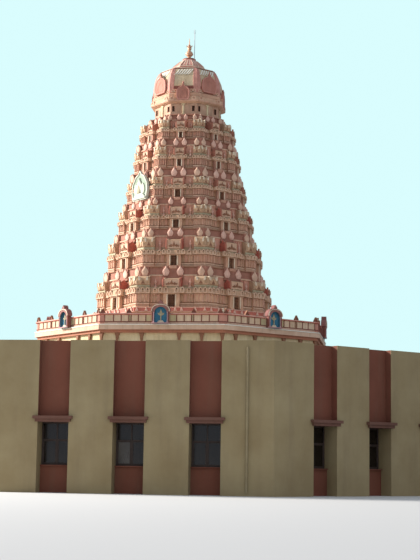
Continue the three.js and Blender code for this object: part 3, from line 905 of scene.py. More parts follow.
@dataclass
class Drum(Assembly):
    """Low drum: bracket frieze, cornice, panelled parapet and eight painted niches."""

    wall: float = 7.95
    top: float = 8.39
    cornice: float = 8.234
    parapet: float = 8.15
    panel_low: float = 8.98
    parapet_top: float = 9.35
    rail_plane: float = 8.20
    rail_start: float = 0.54
    gable_base: float = 9.43
    brackets_at: tuple[float, ...] = (-2.42, -1.08, 0.96, 2.19)
    posts_at: tuple[float, ...] = (0.84, 1.25, 1.65, 1.77, 2.19, 2.61, 3.1)
    gables_at: tuple[float, ...] = (1.77, 3.21)
    niche_face: float = 8.40
    niche_depth: float = 0.15

    def frieze(self) -> None:
        """Models the tapering brackets under the cornice."""
        outline = mirrored([(0.045, 7.62), (0.06, 8.02), (0.08, 8.18), (0.13, 8.34), (0.13, self.top)])
        step = (0.018, 0.02)
        bracket = plate(Paint.BROWN, outline, self.wall - SKIN, self.wall + 0.10, step)
        radius = self.wall * CORNER
        corner = plate(Paint.BROWN, outline, radius - 0.04, radius + 0.07, step)
        corner.data.transform(TO_CORNER)
        self.repeat("frieze_brackets", Slot.PINK, row(bracket, *self.brackets_at) + [corner])

    def lines(self) -> None:
        """Models the thin coloured lines of the cornice and the parapet."""
        for name, plane, z, tall, paint in (("cornice_lip", self.cornice, 8.82, 0.05, Paint.WHITE),
                                            ("parapet_foot", self.parapet, 8.975, 0.045, Paint.MAROON)):
            line = course(paint, plane, z, (0.05, tall), -0.002, 0.012, extra=0.02)
            self.repeat(name, Slot.PINK, [line])
        edge, start = self.rail_plane * HALF_SIDE, self.rail_start
        rail = slab(Paint.RED, (edge - start, 0.05, 0.035),
                    ((edge + start) / 2, -(self.rail_plane + 0.002), 9.372))
        self.repeat("rail_line", Slot.PINK, handed(rail))

    def panels(self) -> None:
        """Models the parapet's thin posts and the sunk cream panels between them."""
        middle, tall = (self.panel_low + self.parapet_top) / 2, self.parapet_top - self.panel_low
        post = slab(Paint.MAROON, (0.045, 0.05, tall), (0, -(self.parapet + 0.018), middle), 0.008)
        self.repeat("parapet_posts", Slot.PINK, row(post, *both(self.posts_at)))
        parts = []
        for left, right in zip(self.posts_at, self.posts_at[1:]):
            half = (right - left) / 2 - 0.03
            if half > 0.05:
                outline = oblong(half, self.panel_low + 0.02, self.parapet_top - 0.02, (left + right) / 2)
                panel = plate(Paint.PANEL, outline, self.parapet - SKIN, self.parapet + 0.02, (0.02, -0.012))
                parts += handed(panel)
        self.repeat("parapet_panels", Slot.CREAM, parts)

    def niche_ground(self) -> None:
        """Models the niche's blue ground and the plain lotus relief on it."""
        back = self.niche_face - self.niche_depth
        ground = mirrored([(0.339, 8.906), (0.339, 9.57), (0.276, 9.72), (0.138, 9.815), (0.0, 9.84)])
        parts = [plate(Paint.BLUE, ground, back - SKIN, back + 0.02, (0.03, 0.004))]
        for shape, width, tall, base, rise in ((BUD, 0.17, 0.34, 9.3, 0.05), (LEAF, 0.11, 0.18, 9.27, 0.07)):
            outline = scaled(shape, width, tall, base)
            parts.append(plate(Paint.SAGE, outline, back + 0.018, back + rise, (0.02, 0.015)))
        petal = [(0.03, 9.27), (0.17, 9.36), (0.18, 9.46), (0.1, 9.41), (0.03, 9.34)]
        parts += handed(plate(Paint.SAGE, petal, back + 0.018, back + 0.045, (0.012, 0.012)))
        for width, tall, base, paint in ((0.34, 0.06, 8.91, Paint.PALE), (0.24, 0.05, 8.97, Paint.PALE),
                                         (0.05, 0.26, 9.02, Paint.SAGE)):
            parts.append(slab(paint, (width, 0.09, tall), (0, -(back + 0.045), base + tall / 2), 0.012))
        self.repeat("niche_reliefs", Slot.CREAM, parts)

    def niche_frame(self) -> None:
        """Models the niche's posts, jambs, base and horseshoe hood."""
        face = self.niche_face
        profile = [(0.042, 8.9), (0.042, 8.96), (0.024, 8.99), (0.03, 9.2), (0.024, 9.4), (0.042, 9.43),
                   (0.042, 9.48)]
        parts = handed(turned(Paint.LILAC, profile, 8, (0.375, -(face + 0.015))))
        parts += handed(slab(Paint.MAROON, (0.06, 0.12, 0.6), (0.45, -(face - 0.03), 9.18)))
        parts.append(slab(Paint.LILAC, (0.96, 0.09, 0.05), (0, -(face + 0.01), 8.875), 0.012))
        self.repeat("niche_posts", Slot.PINK, parts)
        hood = arched([(0.43, 9.48), (0.51, 9.5), (0.515, 9.62), (0.43, 9.78), (0.28, 9.88), (0.12, 9.92),
                       (0.1, 10.03), (0.05, 10.05), (0.0, 10.125)],
                      [(0.0, 9.76), (0.14, 9.73), (0.25, 9.65), (0.32, 9.54), (0.34, 9.48)])
        rim = arched([(0.5, 9.5), (0.5, 9.62), (0.42, 9.76), (0.27, 9.86), (0.0, 9.9)],
                     [(0.0, 9.865), (0.25, 9.825), (0.385, 9.74), (0.46, 9.61), (0.46, 9.5)])
        self.repeat("niche_hoods", Slot.PINK, [plate(Paint.MAUVE, hood, face - SKIN, face + 0.05),
                                               plate(Paint.PALE, rim, face + 0.04, face + 0.075)])

    def acroteria(self) -> None:
        """Models the small gables on the rail and the knobs at its corners."""
        gable = plate(Paint.BROWN, scaled(TENT, 0.27, 0.3, self.gable_base - 0.02), self.parapet - 0.1,
                      self.parapet + 0.03, (0.03, 0.0), (0.012, -0.03), inner=Paint.MAROON)
        self.repeat("rail_gables", Slot.PINK, row(gable, *both(self.gables_at)))
        profile = [(radius, self.gable_base + z) for radius, z in CORNER_KNOB]
        knob = turned(Paint.PALE, profile, 10, (0.0, -(self.parapet - 0.1) * CORNER))
        knob.data.transform(TO_CORNER)
        self.repeat("corner_knobs", Slot.CREAM, [knob], smooth=True)

    def build(self) -> None:
        """Builds and dresses the drum."""
        self.frieze()
        self.lines()
        self.panels()
        self.niche_ground()
        self.niche_frame()
        self.acroteria()
        self.dress(drum_wall=Paint.CREAM, drum_cornice=Paint.CORNICE, drum_roof=Paint.SCREED,
                   drum_parapet=Paint.PARAPET)
        self.dress(**{f"niche_{side + 1}": Paint.NICHE for side in range(SIDES)})


# Sizes of a tier's bays along a side, as shares of its plane
MIDDLE_BAY = 0.093
CORNER_BAY = 0.158
EAVE_SPREADS = (0.045, 0.01)  # of the eave past a middle and a corner bay


@dataclass
class Tier(Assembly):
    """One storey of the tower, from its wall to the band that carries the next one.

    Attributes:
        number: place in the tower, 1 for the lowest.
        plane: plane of the middle bays.
        base: foot of the wall.
        wall_top: head of the wall and foot of the eave.
        eave_top: head of the eave and foot of the bay roofs.
        roof_top: foot of the band.
        top: head of the band.
        door_width: width of the doorways.
        door_height: height of the doorways.
        block: half width of the band's middle block.
        band: plane of the band's blocks.
        spread: distance of the middle buds from the middle of the side.
        wall_colour: colour of the corner and middle bays.
        kudus_at: places of the eave's arches, as shares of the plane.
    """

    number: int
    plane: float
    base: float
    wall_top: float
    eave_top: float
    roof_top: float
    top: float
    door_width: float
    door_height: float
    block: float
    band: float
    spread: float
    wall_colour: str
    corner_set: float = 0.12
    bay_step: float = 0.24
    eave_reach: float = 0.10
    lintel: float = 0.04
    core_step: float = 0.09
    kudus_at: tuple[float, ...] = (0.06, 0.126, 0.194, 0.274, 0.33, 0.382)

    def __post_init__(self) -> None:
        """Works out the widths of the bays and the size of the trim against the lowest tier."""
        self.trim = (self.plane / 5.0) ** 0.8
        self.centre, self.corner = self.plane * MIDDLE_BAY, self.plane * (HALF_SIDE - CORNER_BAY)
        self.edge = (self.plane - self.corner_set) * HALF_SIDE
        past_middle, past_corner = EAVE_SPREADS
        self.eave_bays = (self.centre + self.plane * past_middle, self.corner - self.plane * past_corner)
        self.wall = self.wall_top - self.base
        self.rise = self.eave_top - self.wall_top
        self.roof = self.roof_top - self.eave_top
        self.core = self.band - self.core_step

    def repeat(self, name: str, slot: Slot, parts: list[Piece], sides: tuple[int, ...] = ALL_SIDES,
               smooth: bool = False) -> Piece:
        """Repeats parts as the base class does, with the tier's number before the piece's name."""
        return super().repeat(f"tier_{self.number}_{name}", slot, parts, sides, smooth)

    def wall_at(self, share: float) -> float:
        """Height at a share of the wall."""
        return self.base + self.wall * share

    def roof_at(self, share: float) -> float:
        """Height at a share of the bay roofs."""
        return self.eave_top + self.roof * share

    def spots(self, stops: list[float], eave: bool = False) -> list[Point]:
        """Places on both halves of the side, with the plane of the wall or eave there."""
        centre, corner = self.eave_bays if eave else (self.centre, self.corner)
        found = []
        for stop in stops:
            back = 0.0 if stop < centre else self.corner_set if stop > corner else self.bay_step
            found += [(side * stop, self.plane - back) for side in BOTH]
        return found

    def moulding(self, paint: Finish, z: float, tall: float, out: float, eave: bool = False) -> list[Piece]:
        """Models a moulding that follows the bays of the wall or of the eave.

        Args:
            paint: its finish.
            z: its middle height.
            tall: its height.
            out: how far its front stands out of the wall.
            eave: whether it follows the eave's bays and crosses the middle one.

        Returns:
            Its parts.
        """
        centre, corner = self.eave_bays if eave else (self.centre, self.corner)
        recess, bay, depth = self.plane - self.bay_step, self.plane - self.corner_set, 0.05
        parts = []
        for start, end, plane in ((centre, corner, recess), (corner, (bay + out) * HALF_SIDE, bay)):
            middle = ((start + end) / 2, -(plane + out - depth / 2), z)
            parts += handed(slab(paint, (end - start, depth, tall), middle, tall * 0.2))
        if eave:
            middle = (0, -(self.plane + out - depth / 2), z)
            parts.append(slab(paint, (2 * centre, depth, tall), middle, tall * 0.2))
        return parts

    def pilaster(self, wide: float, paint: Finish) -> Piece:
        """Models a pilaster with its foot and cap at the middle of the side."""
        f, low, high = self.trim, self.wall_at(0.4), self.wall_top
        tall = high - low
        return joined("pilaster", [
            slab(paint, (wide, 0.06, tall), (0, -0.012, low + tall / 2), 0.01 * f),
            slab(paint, (wide + 0.05 * f, 0.09, tall * 0.13), (0, -0.02, high - tall * 0.1), 0.012 * f),
            slab(paint, (wide + 0.035 * f, 0.08, tall * 0.12), (0, -0.016, low + tall * 0.06), 0.01 * f),
        ])

    def pilasters(self) -> None:
        """Models the thin pilasters of the corner bays and the broad ones beside the middle bay."""
        bay, gap = self.edge - self.corner, self.corner - self.centre
        parts = []
        for wide, shares, start, span, paint in (
            (0.05, (0.06, 0.35, 0.67, 0.95), self.corner, bay, Paint.FLESH),
            (0.2, (0.38,), self.centre, gap, Paint.ROSE),
            (0.045, (0.66, 0.87), self.centre, gap, Paint.FLESH),
        ):
            spots = self.spots([start + span * share for share in shares])
            parts += scattered(self.pilaster(wide * self.trim, paint), spots)
        self.repeat("pilasters", Slot.CREAM, parts)

    def doorway(self) -> None:
        """Models the door's jambs, its lintel, the step under it and the timber bars in it."""
        high = self.wall_top - self.lintel
        low, wide = high - self.door_height, 0.06 * self.trim + 0.008
        middle, tall = (low + high) / 2, high - low
        jamb = slab(Paint.PALE, (wide, 0.06, tall + self.lintel),
                    ((self.door_width + wide) / 2, -self.plane, middle + self.lintel / 2), 0.008)
        parts = handed(jamb) + [
            slab(Paint.SHELL, (2 * self.centre, 0.07, self.lintel),
                 (0, -(self.plane + 0.01), high + self.lintel / 2), 0.008),
            slab(Paint.BROWN, (self.door_width + 3 * wide, 0.1, 0.05),
                 (0, -(self.plane + 0.03), low - 0.025)),
        ]
        if self.number > 1:
            parts.append(slab(Paint.ROSE, (self.door_width * 1.15, 0.2, low - self.base + 0.11),
                              (0, -(self.plane + 0.06), (low + self.base - 0.11) / 2 - 0.02), 0.015))
        self.repeat("door_frames", Slot.CREAM, parts)

        plane, pitch = self.plane - 0.13, self.door_width / 4
        bars = [slab(Paint.BOARD, (pitch * 0.6, 0.03, tall), (pitch * (number - 1.5), -plane, middle), 0.004)
                for number in range(4)]
        bars += [slab(Paint.BOARD, (self.door_width, 0.03, pitch * 0.4), (0, -plane, low + tall * z), 0.004)
                 for z in (0.3, 0.7)]
        self.repeat("door_bars", Slot.PINK, bars)

    def foot(self) -> None:
        """Models the pale mouldings along the wall's foot."""
        parts = []
        for paint, share, tall, out in ((Paint.SHELL, 0.27, 0.1, 0.055), (Paint.BROWN, 0.39, 0.045, 0.03),
                                        (Paint.SHELL, 0.16, 0.05, 0.04)):
            parts += self.moulding(paint, self.wall_at(share), self.wall * tall, out)
        self.repeat("foot_mouldings", Slot.CREAM, parts)

    def eave(self) -> None:
        """Models the eave's pale lip, the thin line above it and the small arches between them, each with a
        sunk hollow painted dark as painted shade and a paler rim that is partly its paint and partly a
        painted highlight.
        """
        tall = 0.04 * self.trim
        lip = self.wall_top + self.rise * 0.12
        parts = self.moulding(Paint.SHELL, lip, tall, self.eave_reach + 0.015, eave=True)
        parts += self.moulding(Paint.SAGE, self.eave_top - tall * 0.3, tall, 0.0, eave=True)
        self.repeat("eave_lines", Slot.CREAM, parts)
        wide = 0.25 * self.trim
        outline = scaled(ARCH, wide, self.rise * 0.98, self.wall_top + self.rise * 0.06)
        # The arch's sunk hollow is painted dark as painted shade; its paler rim is partly its paint and
        # partly a painted highlight.
        kudu = plate(Paint.SHELL, outline, -0.03, self.eave_reach + 0.03, (wide * 0.24, 0.0),
                     (wide * 0.02, -0.05), inner=Paint.PAINTED_SHADE)
        spots = self.spots([self.plane * share for share in self.kudus_at], eave=True)
        self.repeat("kudus", Slot.CREAM, scattered(kudu, spots))

    def sala(self) -> None:
        """Models the middle bay's barrel roof: carved front, gable ends and the ledge over it, whose brown is
        partly paint and partly painted shade under the band's middle block.
        """
        f, front, low = self.trim, self.plane + 0.02, self.roof_at(0.06)
        half, high = self.centre * 0.9, self.roof_at(0.67)
        tall = high - low
        parts = [
            plate(Paint.SHELL, oblong(half, low, high), front - 0.07, front, (0.035 * f, 0.0),
                  (0.012, -0.018)),
            plate(Paint.BROWN, scaled(PEAK, half * 0.66, tall * 0.62, low + tall * 0.26), front - 0.03,
                  front + 0.03, (0.03 * f, 0.012)),
        ]
        for at, wide, share in ((0.42, 0.34, 0.34), (0.7, 0.22, 0.22)):
            outline = scaled(LEAF, half * wide, tall * share, low + tall * 0.2, half * at)
            parts += handed(plate(Paint.BROWN, outline, front - 0.03, front + 0.02, (0.016 * f, 0.01)))
        self.repeat("sala_fronts", Slot.CREAM, parts)

        deep = self.plane - self.core
        section = scaled(GABLE, deep * 1.06, self.roof * 0.88, self.eave_top, self.core + deep / 2)
        end = plate(Paint.VIVID if self.number < 4 else Paint.CLAY, section, self.centre * 1.06,
                    self.centre * 1.17, (0.035 * f, 0.012), (0.03 * f, -0.012))
        end.data.transform(Matrix.Rotation(-math.pi / 2, 4, "Z"))
        leaf = scaled(LEAF, self.centre * 0.24, self.roof * 0.8, self.eave_top, self.centre)
        stop = plate(Paint.CLAY, leaf, self.plane - 0.06, self.plane + 0.035, (0.02 * f, 0.01))
        self.repeat("sala_ends", Slot.PINK, handed(end) + handed(stop))

        # The ledge's brown stands partly for its paint and partly for painted shade under the band's middle
        # block.
        size = (2 * self.block + 0.06, 0.09, self.roof * 0.08)
        self.repeat("ledges", Slot.PINK, [slab(Paint.BROWN, size, (0, -self.band, self.roof_at(0.8)), 0.012)])

    def pots(self) -> None:
        """Models the little pots that stand in the recesses beside the middle bay."""
        f, low = self.trim, self.eave_top - 0.02
        profile = [(radius * f, low + z * self.roof) for radius, z in POT] + [(0.01, low + self.roof * 0.82)]
        place = ((self.eave_bays[0] + self.corner) / 2, -(self.core + 0.11 * f))
        self.repeat("pots", Slot.CREAM, handed(turned(Paint.BUD, profile, 8, place)), smooth=True)

    def kutas(self) -> None:
        """Models the corner shrines' dark triangles, pale curls and the lines round their feet."""
        face, bay, roof = self.plane - self.corner_set, self.edge - self.corner, self.roof
        middle, low = self.corner + bay * 0.5, self.roof_at(0.26)
        parts = []
        for paint, shape, wide, tall, base, near, far in (
            (Paint.BUFF, ARCH, 0.62, 0.5, 0.0, 0.05, 0.06), (Paint.BROWN, PEAK, 0.34, 0.36, 0.03, 0.0, 0.075),
        ):
            outline = scaled(shape, bay * wide, roof * tall, low + roof * base, middle)
            parts += handed(plate(paint, outline, face - near, face + far))
        for hand in (1, -1):
            curl = [(middle + hand * (0.26 * bay + x * 0.2 * self.trim), self.roof_at(0.56 + z * 0.36))
                    for x, z in FLAME]
            parts += handed(plate(Paint.PALE, curl[::hand], face - 0.08, face + 0.09))
        self.repeat("kuta_fronts", Slot.CREAM, parts)
        parts = []
        for share, out, tall, paint in ((0.28, 0.02, 0.05, Paint.SHELL), (0.12, -0.015, 0.14, Paint.SAGE)):
            width = (face + out) * HALF_SIDE - self.corner
            place = (self.corner + width / 2, -(face + out - 0.025), self.roof_at(share))
            parts += handed(slab(paint, (width, 0.05, roof * tall), place))
        self.repeat("kuta_lines", Slot.CREAM, parts)

    def buds(self) -> None:
        """Models the band's rows of lotus buds and its string courses."""
        tall = self.top - self.roof_top
        height, width = tall * 1.05, tall * 0.76
        outline = scaled(BUD, width, height, self.roof_top + tall * 0.03)
        parts = []
        for stop, paint in ((self.spread, Paint.BUD), (self.band * HALF_SIDE - width * 0.66, Paint.PETAL)):
            bud = plate(paint, outline, self.band - 0.02, self.band + 0.05, (width * 0.16, 0.02),
                        (width * 0.12, 0.012))
            parts += row(bud, -stop, stop)
        self.repeat("buds", Slot.PINK, parts)
        self.repeat("band_lines", Slot.CREAM, [
            course(paint, self.core + out, z, (0.08, rise), 0.04, 0.012)
            for z, rise, out, paint in ((self.roof_top + tall * 0.08, tall * 0.15, 0.05, Paint.SHELL),
                                        (self.top - tall * 0.07, tall * 0.1, 0.06, Paint.BROWN))
        ])

    def plinth(self) -> None:
        """Models the small pointed leaves and the lines on the lowest tier's red plinth."""
        plane = self.plane + 0.11
        leaf = plate(Paint.BUD, scaled(SPIKE, 0.19, 0.25, 9.9), plane - SKIN, plane + 0.05, (0.02, 0.015))
        parts = row(leaf, *both((0.26, 0.61, 1.4, 1.93)))
        for z, tall in ((9.875, 0.035), (10.1, 0.04)):
            parts.append(course(Paint.BUD, plane + 0.02, z, (0.05, tall), 0.025, 0.01))
        super().repeat("plinth_leaves", Slot.PINK, parts)

    def paint(self) -> None:
        """Paints the tier's two nodes."""
        recess, core = self.plane - self.bay_step, self.core
        cells = (Cell("CCA686", near=recess - 0.05, far=recess + 0.06), Cell("EAD8C0", far=self.plane - 0.3))
        if self.number == 1:
            cells += (Cell("CF7A6A", low=9.80, high=10.125, near=self.plane), Cell("B97B69", high=9.80))
        wall = Plaster(f"tier_{self.number}_wall_paint", self.wall_colour, "BE988A", 0.6, wear=0.5,
                       cells=cells)
        low, band = self.eave_top, self.roof_top
        cells = (
            Cell("C4A383", low=low),
            Cell("E0B598", low=low, far=core + 0.01, start=self.corner * 0.86),
            Cell("DAA28C", low=self.roof_at(0.26), far=core + 0.01),
            Cell("B0604F", low=low, high=self.roof_at(0.86), near=core + 0.012, start=self.centre * 0.97,
                 end=self.centre * 1.09),
            Cell("AC7765", low=band + 0.004),
            Cell("AC7765", low=self.roof_at(0.795), near=core + 0.02, end=self.block + 0.01),
            Cell("AA7462", low=band - 0.01, near=core + 0.02),
        )
        cornice = Plaster(f"tier_{self.number}_cornice_paint", "CDA98A", "BFA08C", 0.5, 0.32, wear=0.5,
                          cells=cells)
        self.dress(**{f"tier_{self.number}_wall": wall, f"tier_{self.number}_cornice": cornice})

    def build(self) -> None:
        """Builds and dresses the tier."""
        self.pilasters()
        self.doorway()
        self.foot()
        self.eave()
        self.sala()
        self.pots()
        self.kutas()
        self.buds()
        if self.number == 1:
            self.plinth()
        self.paint()


@dataclass
class WallRelief(Assembly):
    """Pale arched panel with a plain lotus, against the fourth tier on the left side."""

    side: int = 7
    at: float = 0.2
    half: float = 0.8
    base: float = 16.70
    height: float = 1.78
    back: float = 3.44
    face: float = 3.62

    def build(self) -> None:
        """Models and finishes the panel."""
        outline = scaled(ARCH, 2 * self.half, self.height, self.base, self.at)
        parts = [plate(Paint.CHALK, outline, self.back, self.face, (0.07, 0.0), (0.02, -0.05),
                       inner=Paint.MIST)]
        sunk = self.face - 0.052
        for shape, x, wide, tall, foot, rise, paint in (
            (BUD, 0.0, 0.5, 0.9, 0.45, 0.09, Paint.CHALK), (LEAF, -0.33, 0.36, 0.62, 0.4, 0.06, Paint.CHALK),
            (LEAF, 0.33, 0.36, 0.62, 0.4, 0.06, Paint.CHALK), (LEAF, 0.0, 0.28, 0.5, 0.42, 0.12, Paint.SAGE),
        ):
            petal = scaled(shape, wide, tall, self.base + foot, self.at + x)
            parts.append(plate(paint, petal, sunk, sunk + rise, (0.05, 0.015), (0.04, 0.01)))
        for wide, tall, foot, rise in (
            (1.3, 0.14, 0.06, 0.12), (1.0, 0.12, 0.2, 0.1), (0.7, 0.1, 0.32, 0.08),
        ):
            place = (self.at, -(sunk + rise / 2), self.base + foot + tall / 2)
            parts.append(slab(Paint.CHALK, (wide, rise, tall), place, 0.015))
        self.repeat("wall_relief", Slot.CREAM, parts, (self.side,))


@dataclass
class Crown(Assembly):
    """Neck, rolled cornice, ribbed dome with gables, lotus cap and finial.

    Attributes:
        low_gable: half width, foot, height and plane of the gables over the neck's sides.
        high_gable: the same of the gables between them.
        dome: (plane, height) stops of the dome's side.
        cap: (plane, height) stops of the cap's side.
        rib_widths: widths of a rib at the dome's stops.
    """

    neck_plane: float = 1.90
    neck_base: float = 21.95
    neck_top: float = 22.72
    low_gable: tuple[float, float, float, float] = (0.41, 22.87, 1.04, 2.17)
    high_gable: tuple[float, float, float, float] = (0.55, 23.42, 1.19, 2.11)
    dome: tuple[Point, ...] = ((1.96, 23.33), (2.0, 23.56), (1.995, 23.9), (1.95, 24.22), (1.87, 24.56),
                               (1.73, 24.86), (1.48, 25.06), (1.15, 25.18), (0.88, 25.23))
    cap: tuple[Point, ...] = ((0.985, 25.29), (0.93, 25.40), (0.83, 25.50), (0.68, 25.65), (0.52, 25.79))
    rib_widths: tuple[float, ...] = (1.0, 1.05, 1.15, 1.15, 1.0, 0.8, 0.6, 0.46, 0.4)
    rod_offset: float = 0.32

    def neck(self) -> None:
        """Models the neck's pilasters and its foot moulding."""
        tall, out = self.neck_top - self.neck_base, self.neck_plane + 0.02
        parts = [
            slab(Paint.CREAM, (0.1, 0.07, tall), (0, -out, self.neck_base + tall / 2), 0.012),
            slab(Paint.CREAM, (0.26, 0.1, 0.08), (0, -out, self.neck_top - 0.05), 0.015),
            slab(Paint.CREAM, (0.17, 0.09, 0.07), (0, -out, self.neck_base + 0.14), 0.012),
            course(Paint.ROSE, self.neck_plane + 0.03, 22.03, (0.06, 0.09), 0.03, 0.015),
        ]
        jamb = slab(Paint.ROSE, (0.03, 0.04, 0.36), (0, -(self.neck_plane + 0.008), 22.395), 0.006)
        self.repeat("neck_trim", Slot.CREAM, parts + row(jamb, *both((0.505, 0.695))))

    def roll(self) -> None:
        """Models the pale lips and the arched dormers of the rolled cornice."""
        self.repeat("roll_lips", Slot.CREAM, [
            course(paint, plane, z, (0.07, tall), 0.03, 0.015)
            for plane, z, tall, paint in (
                (2.165, 22.84, 0.07, Paint.FLESH), (2.075, 23.14, 0.06, Paint.ROSE),
                (2.065, 23.27, 0.05, Paint.FLESH),
            )
        ])
        dormer = plate(Paint.SHELL, scaled(ARCH, 0.27, 0.24, 22.87), 2.06, 2.185, (0.04, 0.0), (0.01, -0.03),
                       inner=Paint.ROSE)
        self.repeat("roll_dormers", Slot.CREAM, row(dormer, -0.66, 0.66))

    def gables(self) -> None:
        """Models the raised rims, sunk fields and knobs of the eight gables."""
        for first, name, gable in ((0, "low", self.low_gable), (1, "high", self.high_gable)):
            half, foot, height, plane = gable
            rim = scaled(GABLE, half * 1.96, height * 0.985, foot + 0.01)
            inner = scaled(ARCH, half * 1.1, height * 0.52, foot + 0.12)
            knob = [(radius, foot + height - 0.04 + z) for radius, z in GABLE_KNOB]
            parts = [
                plate(Paint.CAP, rim, plane - SKIN, plane + 0.03, (0.05, 0.0), (0.012, -0.02),
                      inner=Paint.GABLE),
                plate(Paint.GABLE, inner, plane - 0.022, plane + 0.02, (0.045, 0.0), (0.01, -0.012)),
                turned(Paint.GABLE, knob, 8, (0.0, -(plane - 0.05))),
            ]
            self.repeat(f"gable_trim_{name}", Slot.PINK, parts, ALL_SIDES[first::2])

    def ribs(self) -> None:
        """Models the pink ribs over the dome's corners."""
        section = [(-0.2, -0.15), (0.2, -0.15), (0.2, -0.055), (0.0, 0.03), (-0.2, -0.055)]
        path = [(0.0, plane * CORNER, z, width) for (plane, z), width in zip(self.dome, self.rib_widths)]
        rib = swept(Paint.CAP, section, path)
        rib.data.transform(TO_CORNER)
        self.repeat("dome_ribs", Slot.PINK, [rib])

    def bands(self) -> None:
        """Models the dark bands, the scrolls at the dome's foot and the slanted flutes at its head."""
        self.repeat("dome_bands", Slot.PINK, [
            course(paint, plane, z, (0.07, tall), 0.02, 0.014)
            for plane, z, tall, paint in (
                (2.005, 23.67, 0.09, Paint.MAROON), (1.66, 24.955, 0.045, Paint.MAROON),
                (1.55, 25.025, 0.05, Paint.PALE),
            )
        ])
        scroll = plate(Paint.SHELL, scaled(ARCH, 0.24, 0.2, 23.38), 1.95, 2.035, (0.035, 0.0), (0.01, -0.025),
                       inner=Paint.GABLE)
        flute = swept(Paint.WHITE, [(-0.034, -0.03), (0.034, -0.03), (0.034, 0.035), (-0.034, 0.035)],
                      [(0.0, 1.885, 24.5, 1.0), (0.13, 1.87, 24.57, 1.0), (0.32, 1.73, 24.87, 1.0)])
        parts = row(scroll, -0.64, -0.5, 0.5, 0.64)
        parts += row(flute, *(-0.6 + 0.16 * number for number in range(6)))
        self.repeat("dome_scrolls", Slot.CREAM, parts)

    def lotus(self) -> None:
        """Models the pale edges of the petals round the cap, and its top disc."""
        parts = []
        for stretch, eighths in ((1.0, (-0.25, 0.0, 0.25)), (CORNER, (0.5,))):
            path = [(0.0, plane * stretch, z, 1.0) for plane, z in self.cap]
            edge = swept(Paint.PALE, oblong(0.02, -0.03, 0.02)[::-1], path)
            parts += copies(edge, [Matrix.Rotation(turn * SIDE_ANGLE, 4, "Z") for turn in eighths])
        parts.append(course(Paint.PALE, 0.99, 25.3, (0.06, 0.05), 0.02, 0.014))
        self.repeat("cap_petals", Slot.CREAM, parts)
        disc = turned(Paint.MAROON, [(0.37, 25.90), (0.41, 25.93), (0.41, 25.97), (0.36, 26.0)], 24)
        self.finish(joined("cap_disc", [disc]), Slot.PINK)

    def finial(self) -> None:
        """Models the beaded rings and pointed leaves of the finial and the tines of the rod."""
        parts = []
        for radius, z in ((0.15, 26.03), (0.245, 26.31), (0.13, 26.61), (0.14, 26.72)):
            waist = radius * 0.86
            profile = [(waist, z - 0.025), (radius, z - 0.012), (radius, z + 0.012), (waist, z + 0.025)]
            parts.append(turned(Paint.GOLD, profile, 24))
        outline = [(0.0, 26.7), (0.06, 26.74), (0.17, 26.78), (0.19, 26.88), (0.1, 26.82), (0.0, 26.8)]
        leaf = plate(Paint.GOLD, outline, -0.012, 0.012)
        parts += copies(leaf, [Matrix.Rotation(turn * math.tau / 4, 4, "Z") for turn in range(4)])
        self.finish(joined("finial_trim", parts), Slot.GOLD, smooth=True)
        tines = []
        for x in (-0.05, 0.0, 0.05):
            path = [(0.0, 0.0, 27.6, 1.0), (x, 0.0, 27.66, 1.0), (x * 1.2, 0.0, 27.8, 0.4)]
            tines.append(swept(Paint.STEEL, oblong(0.006, -0.006, 0.006)[::-1], path))
        rod = joined("rod_tines", tines)
        rod.data.transform(Matrix.Translation((self.rod_offset, 0, 0)))
        self.finish(rod, Slot.STEEL)

    def build(self) -> None:
        """Builds and dresses the crown."""
        self.neck()
        self.roll()
        self.gables()
        self.ribs()
        self.bands()
        self.lotus()
        self.finial()
        self.dress(neck=Paint.NECK, neck_cornice=Paint.ROLL, dome=Paint.DOME, lotus_cap=Paint.CAP,
                   finial=Paint.GOLD, lightning_rod=Paint.STEEL)


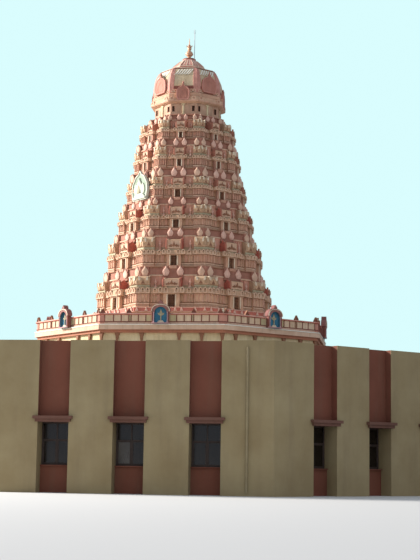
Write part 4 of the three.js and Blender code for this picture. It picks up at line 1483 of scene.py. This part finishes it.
@dataclass
class Studio:
    """Pale floor, soft lights and the camera at the photograph's angle."""

    eye: Triple = (12.41, -79.05, 1.6)
    heading: float = 7.867
    pitch: float = 7.658
    roll: float = 0.8466
    lens: float = 86.46
    sensor: float = 36
    sight: float = 1000
    floor_size: float = 900
    floor_height: float = -0.002
    target: Triple = (0, 0, 12)
    ambient: tuple[float, float, float, float] = (0.48, 0.54, 0.62, 1.0)
    backdrop: tuple[float, float, float, float] = (0.70, 0.98, 0.99, 1.0)
    floor_colour: tuple[float, float, float, float] = (0.6, 0.585, 0.565, 1)

    def camera(self) -> None:
        """Adds the camera."""
        clear()
        bpy.ops.object.camera_add(location=self.eye)
        camera = bpy.context.object
        turn = Matrix.Translation(self.eye)
        for angle, axis in ((self.heading, "Z"), (90 + self.pitch, "X"), (self.roll, "Z")):
            turn = turn @ Matrix.Rotation(math.radians(angle), 4, axis)
        camera.matrix_world = turn
        camera.data.lens = self.lens
        camera.data.sensor_width = self.sensor
        camera.data.clip_end = self.sight
        bpy.context.scene.camera = camera

    def light(self, name: str, place: Triple, size: float, power: float, colour: Triple) -> None:
        """Adds one soft area light that looks at the temple.

        Args:
            name: light name.
            place: its position.
            size: its width.
            power: its power in watts.
            colour: its colour.
        """
        bpy.ops.object.light_add(type="AREA", location=place)
        lamp = bpy.context.object
        lamp.name = name
        lamp.data.size = size
        lamp.data.energy = power
        lamp.data.color = colour
        lamp.rotation_euler = (Vector(self.target) - Vector(place)).to_track_quat("-Z", "Y").to_euler()

    def floor(self) -> None:
        """Adds the pale floor."""
        clear()
        bpy.ops.mesh.primitive_plane_add(size=self.floor_size, location=(0, 0, self.floor_height))
        floor = joined("studio_floor", [settle()])
        material = bpy.data.materials.new("studio_floor")
        material.use_nodes = True
        surface = material.node_tree.nodes["Principled BSDF"]
        surface.inputs["Base Color"].default_value = self.floor_colour
        surface.inputs["Roughness"].default_value = 0.9
        floor.data.materials.append(material)

    def world(self) -> None:
        """Sets a pale backdrop for the camera and a dimmer even light for the temple."""
        world = bpy.data.worlds.new("studio")
        world.use_nodes = True
        graph = Graph(world.node_tree)
        seen = graph.node("LightPath", {}).outputs["Is Camera Ray"]
        colour = graph.mix(seen, self.ambient, self.backdrop)
        graph.feed(world.node_tree.nodes["Background"], "Color", colour)
        bpy.context.scene.world = world

    def build(self) -> None:
        """Builds the studio."""
        self.camera()
        self.floor()
        self.world()
        self.light("key", (-84, -3, 46), 16, 215000, (1.0, 0.97, 0.92))
        self.light("fill", (30, -85, 40), 50, 6000, (1.0, 0.97, 0.93))
        bpy.context.scene.view_settings.view_transform = "Standard"


# The six tiers, lowest first: the fields of Tier from its plane to its wall colour
TIERS = (
    (5.00, 10.12, 10.90, 11.27, 11.95, 12.50, 0.42, 0.72, 0.60, 4.57, 0.41, "E0B696"),
    (4.45, 12.50, 13.20, 13.50, 14.30, 14.78, 0.37, 0.60, 0.46, 4.03, 0.29, "D2A588"),
    (3.91, 14.78, 15.37, 15.60, 16.25, 16.66, 0.335, 0.51, 0.52, 3.59, 0.37, "CEA68A"),
    (3.47, 16.66, 17.23, 17.45, 18.00, 18.50, 0.31, 0.48, 0.41, 3.22, 0.27, "C0907A"),
    (3.10, 18.50, 19.10, 19.30, 19.90, 20.33, 0.23, 0.44, 0.385, 2.90, 0.25, "C0907A"),
    (2.78, 20.33, 20.80, 21.00, 21.60, 21.95, 0.19, 0.38, 0.315, 2.22, 0.20, "C0907A"),
)


def main() -> None:
    """Builds the temple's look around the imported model."""
    logging.basicConfig(level=logging.INFO, format="%(message)s")
    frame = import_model()
    nodes = frame["nodes"]
    Studio().build()
    GroundStorey(nodes).build()
    Drum(nodes).build()
    for number, sizes in enumerate(TIERS):
        Tier(nodes, number + 1, *sizes).build()
    WallRelief(nodes).build()
    Crown(nodes).build()


if __name__ == "__main__":
    main()
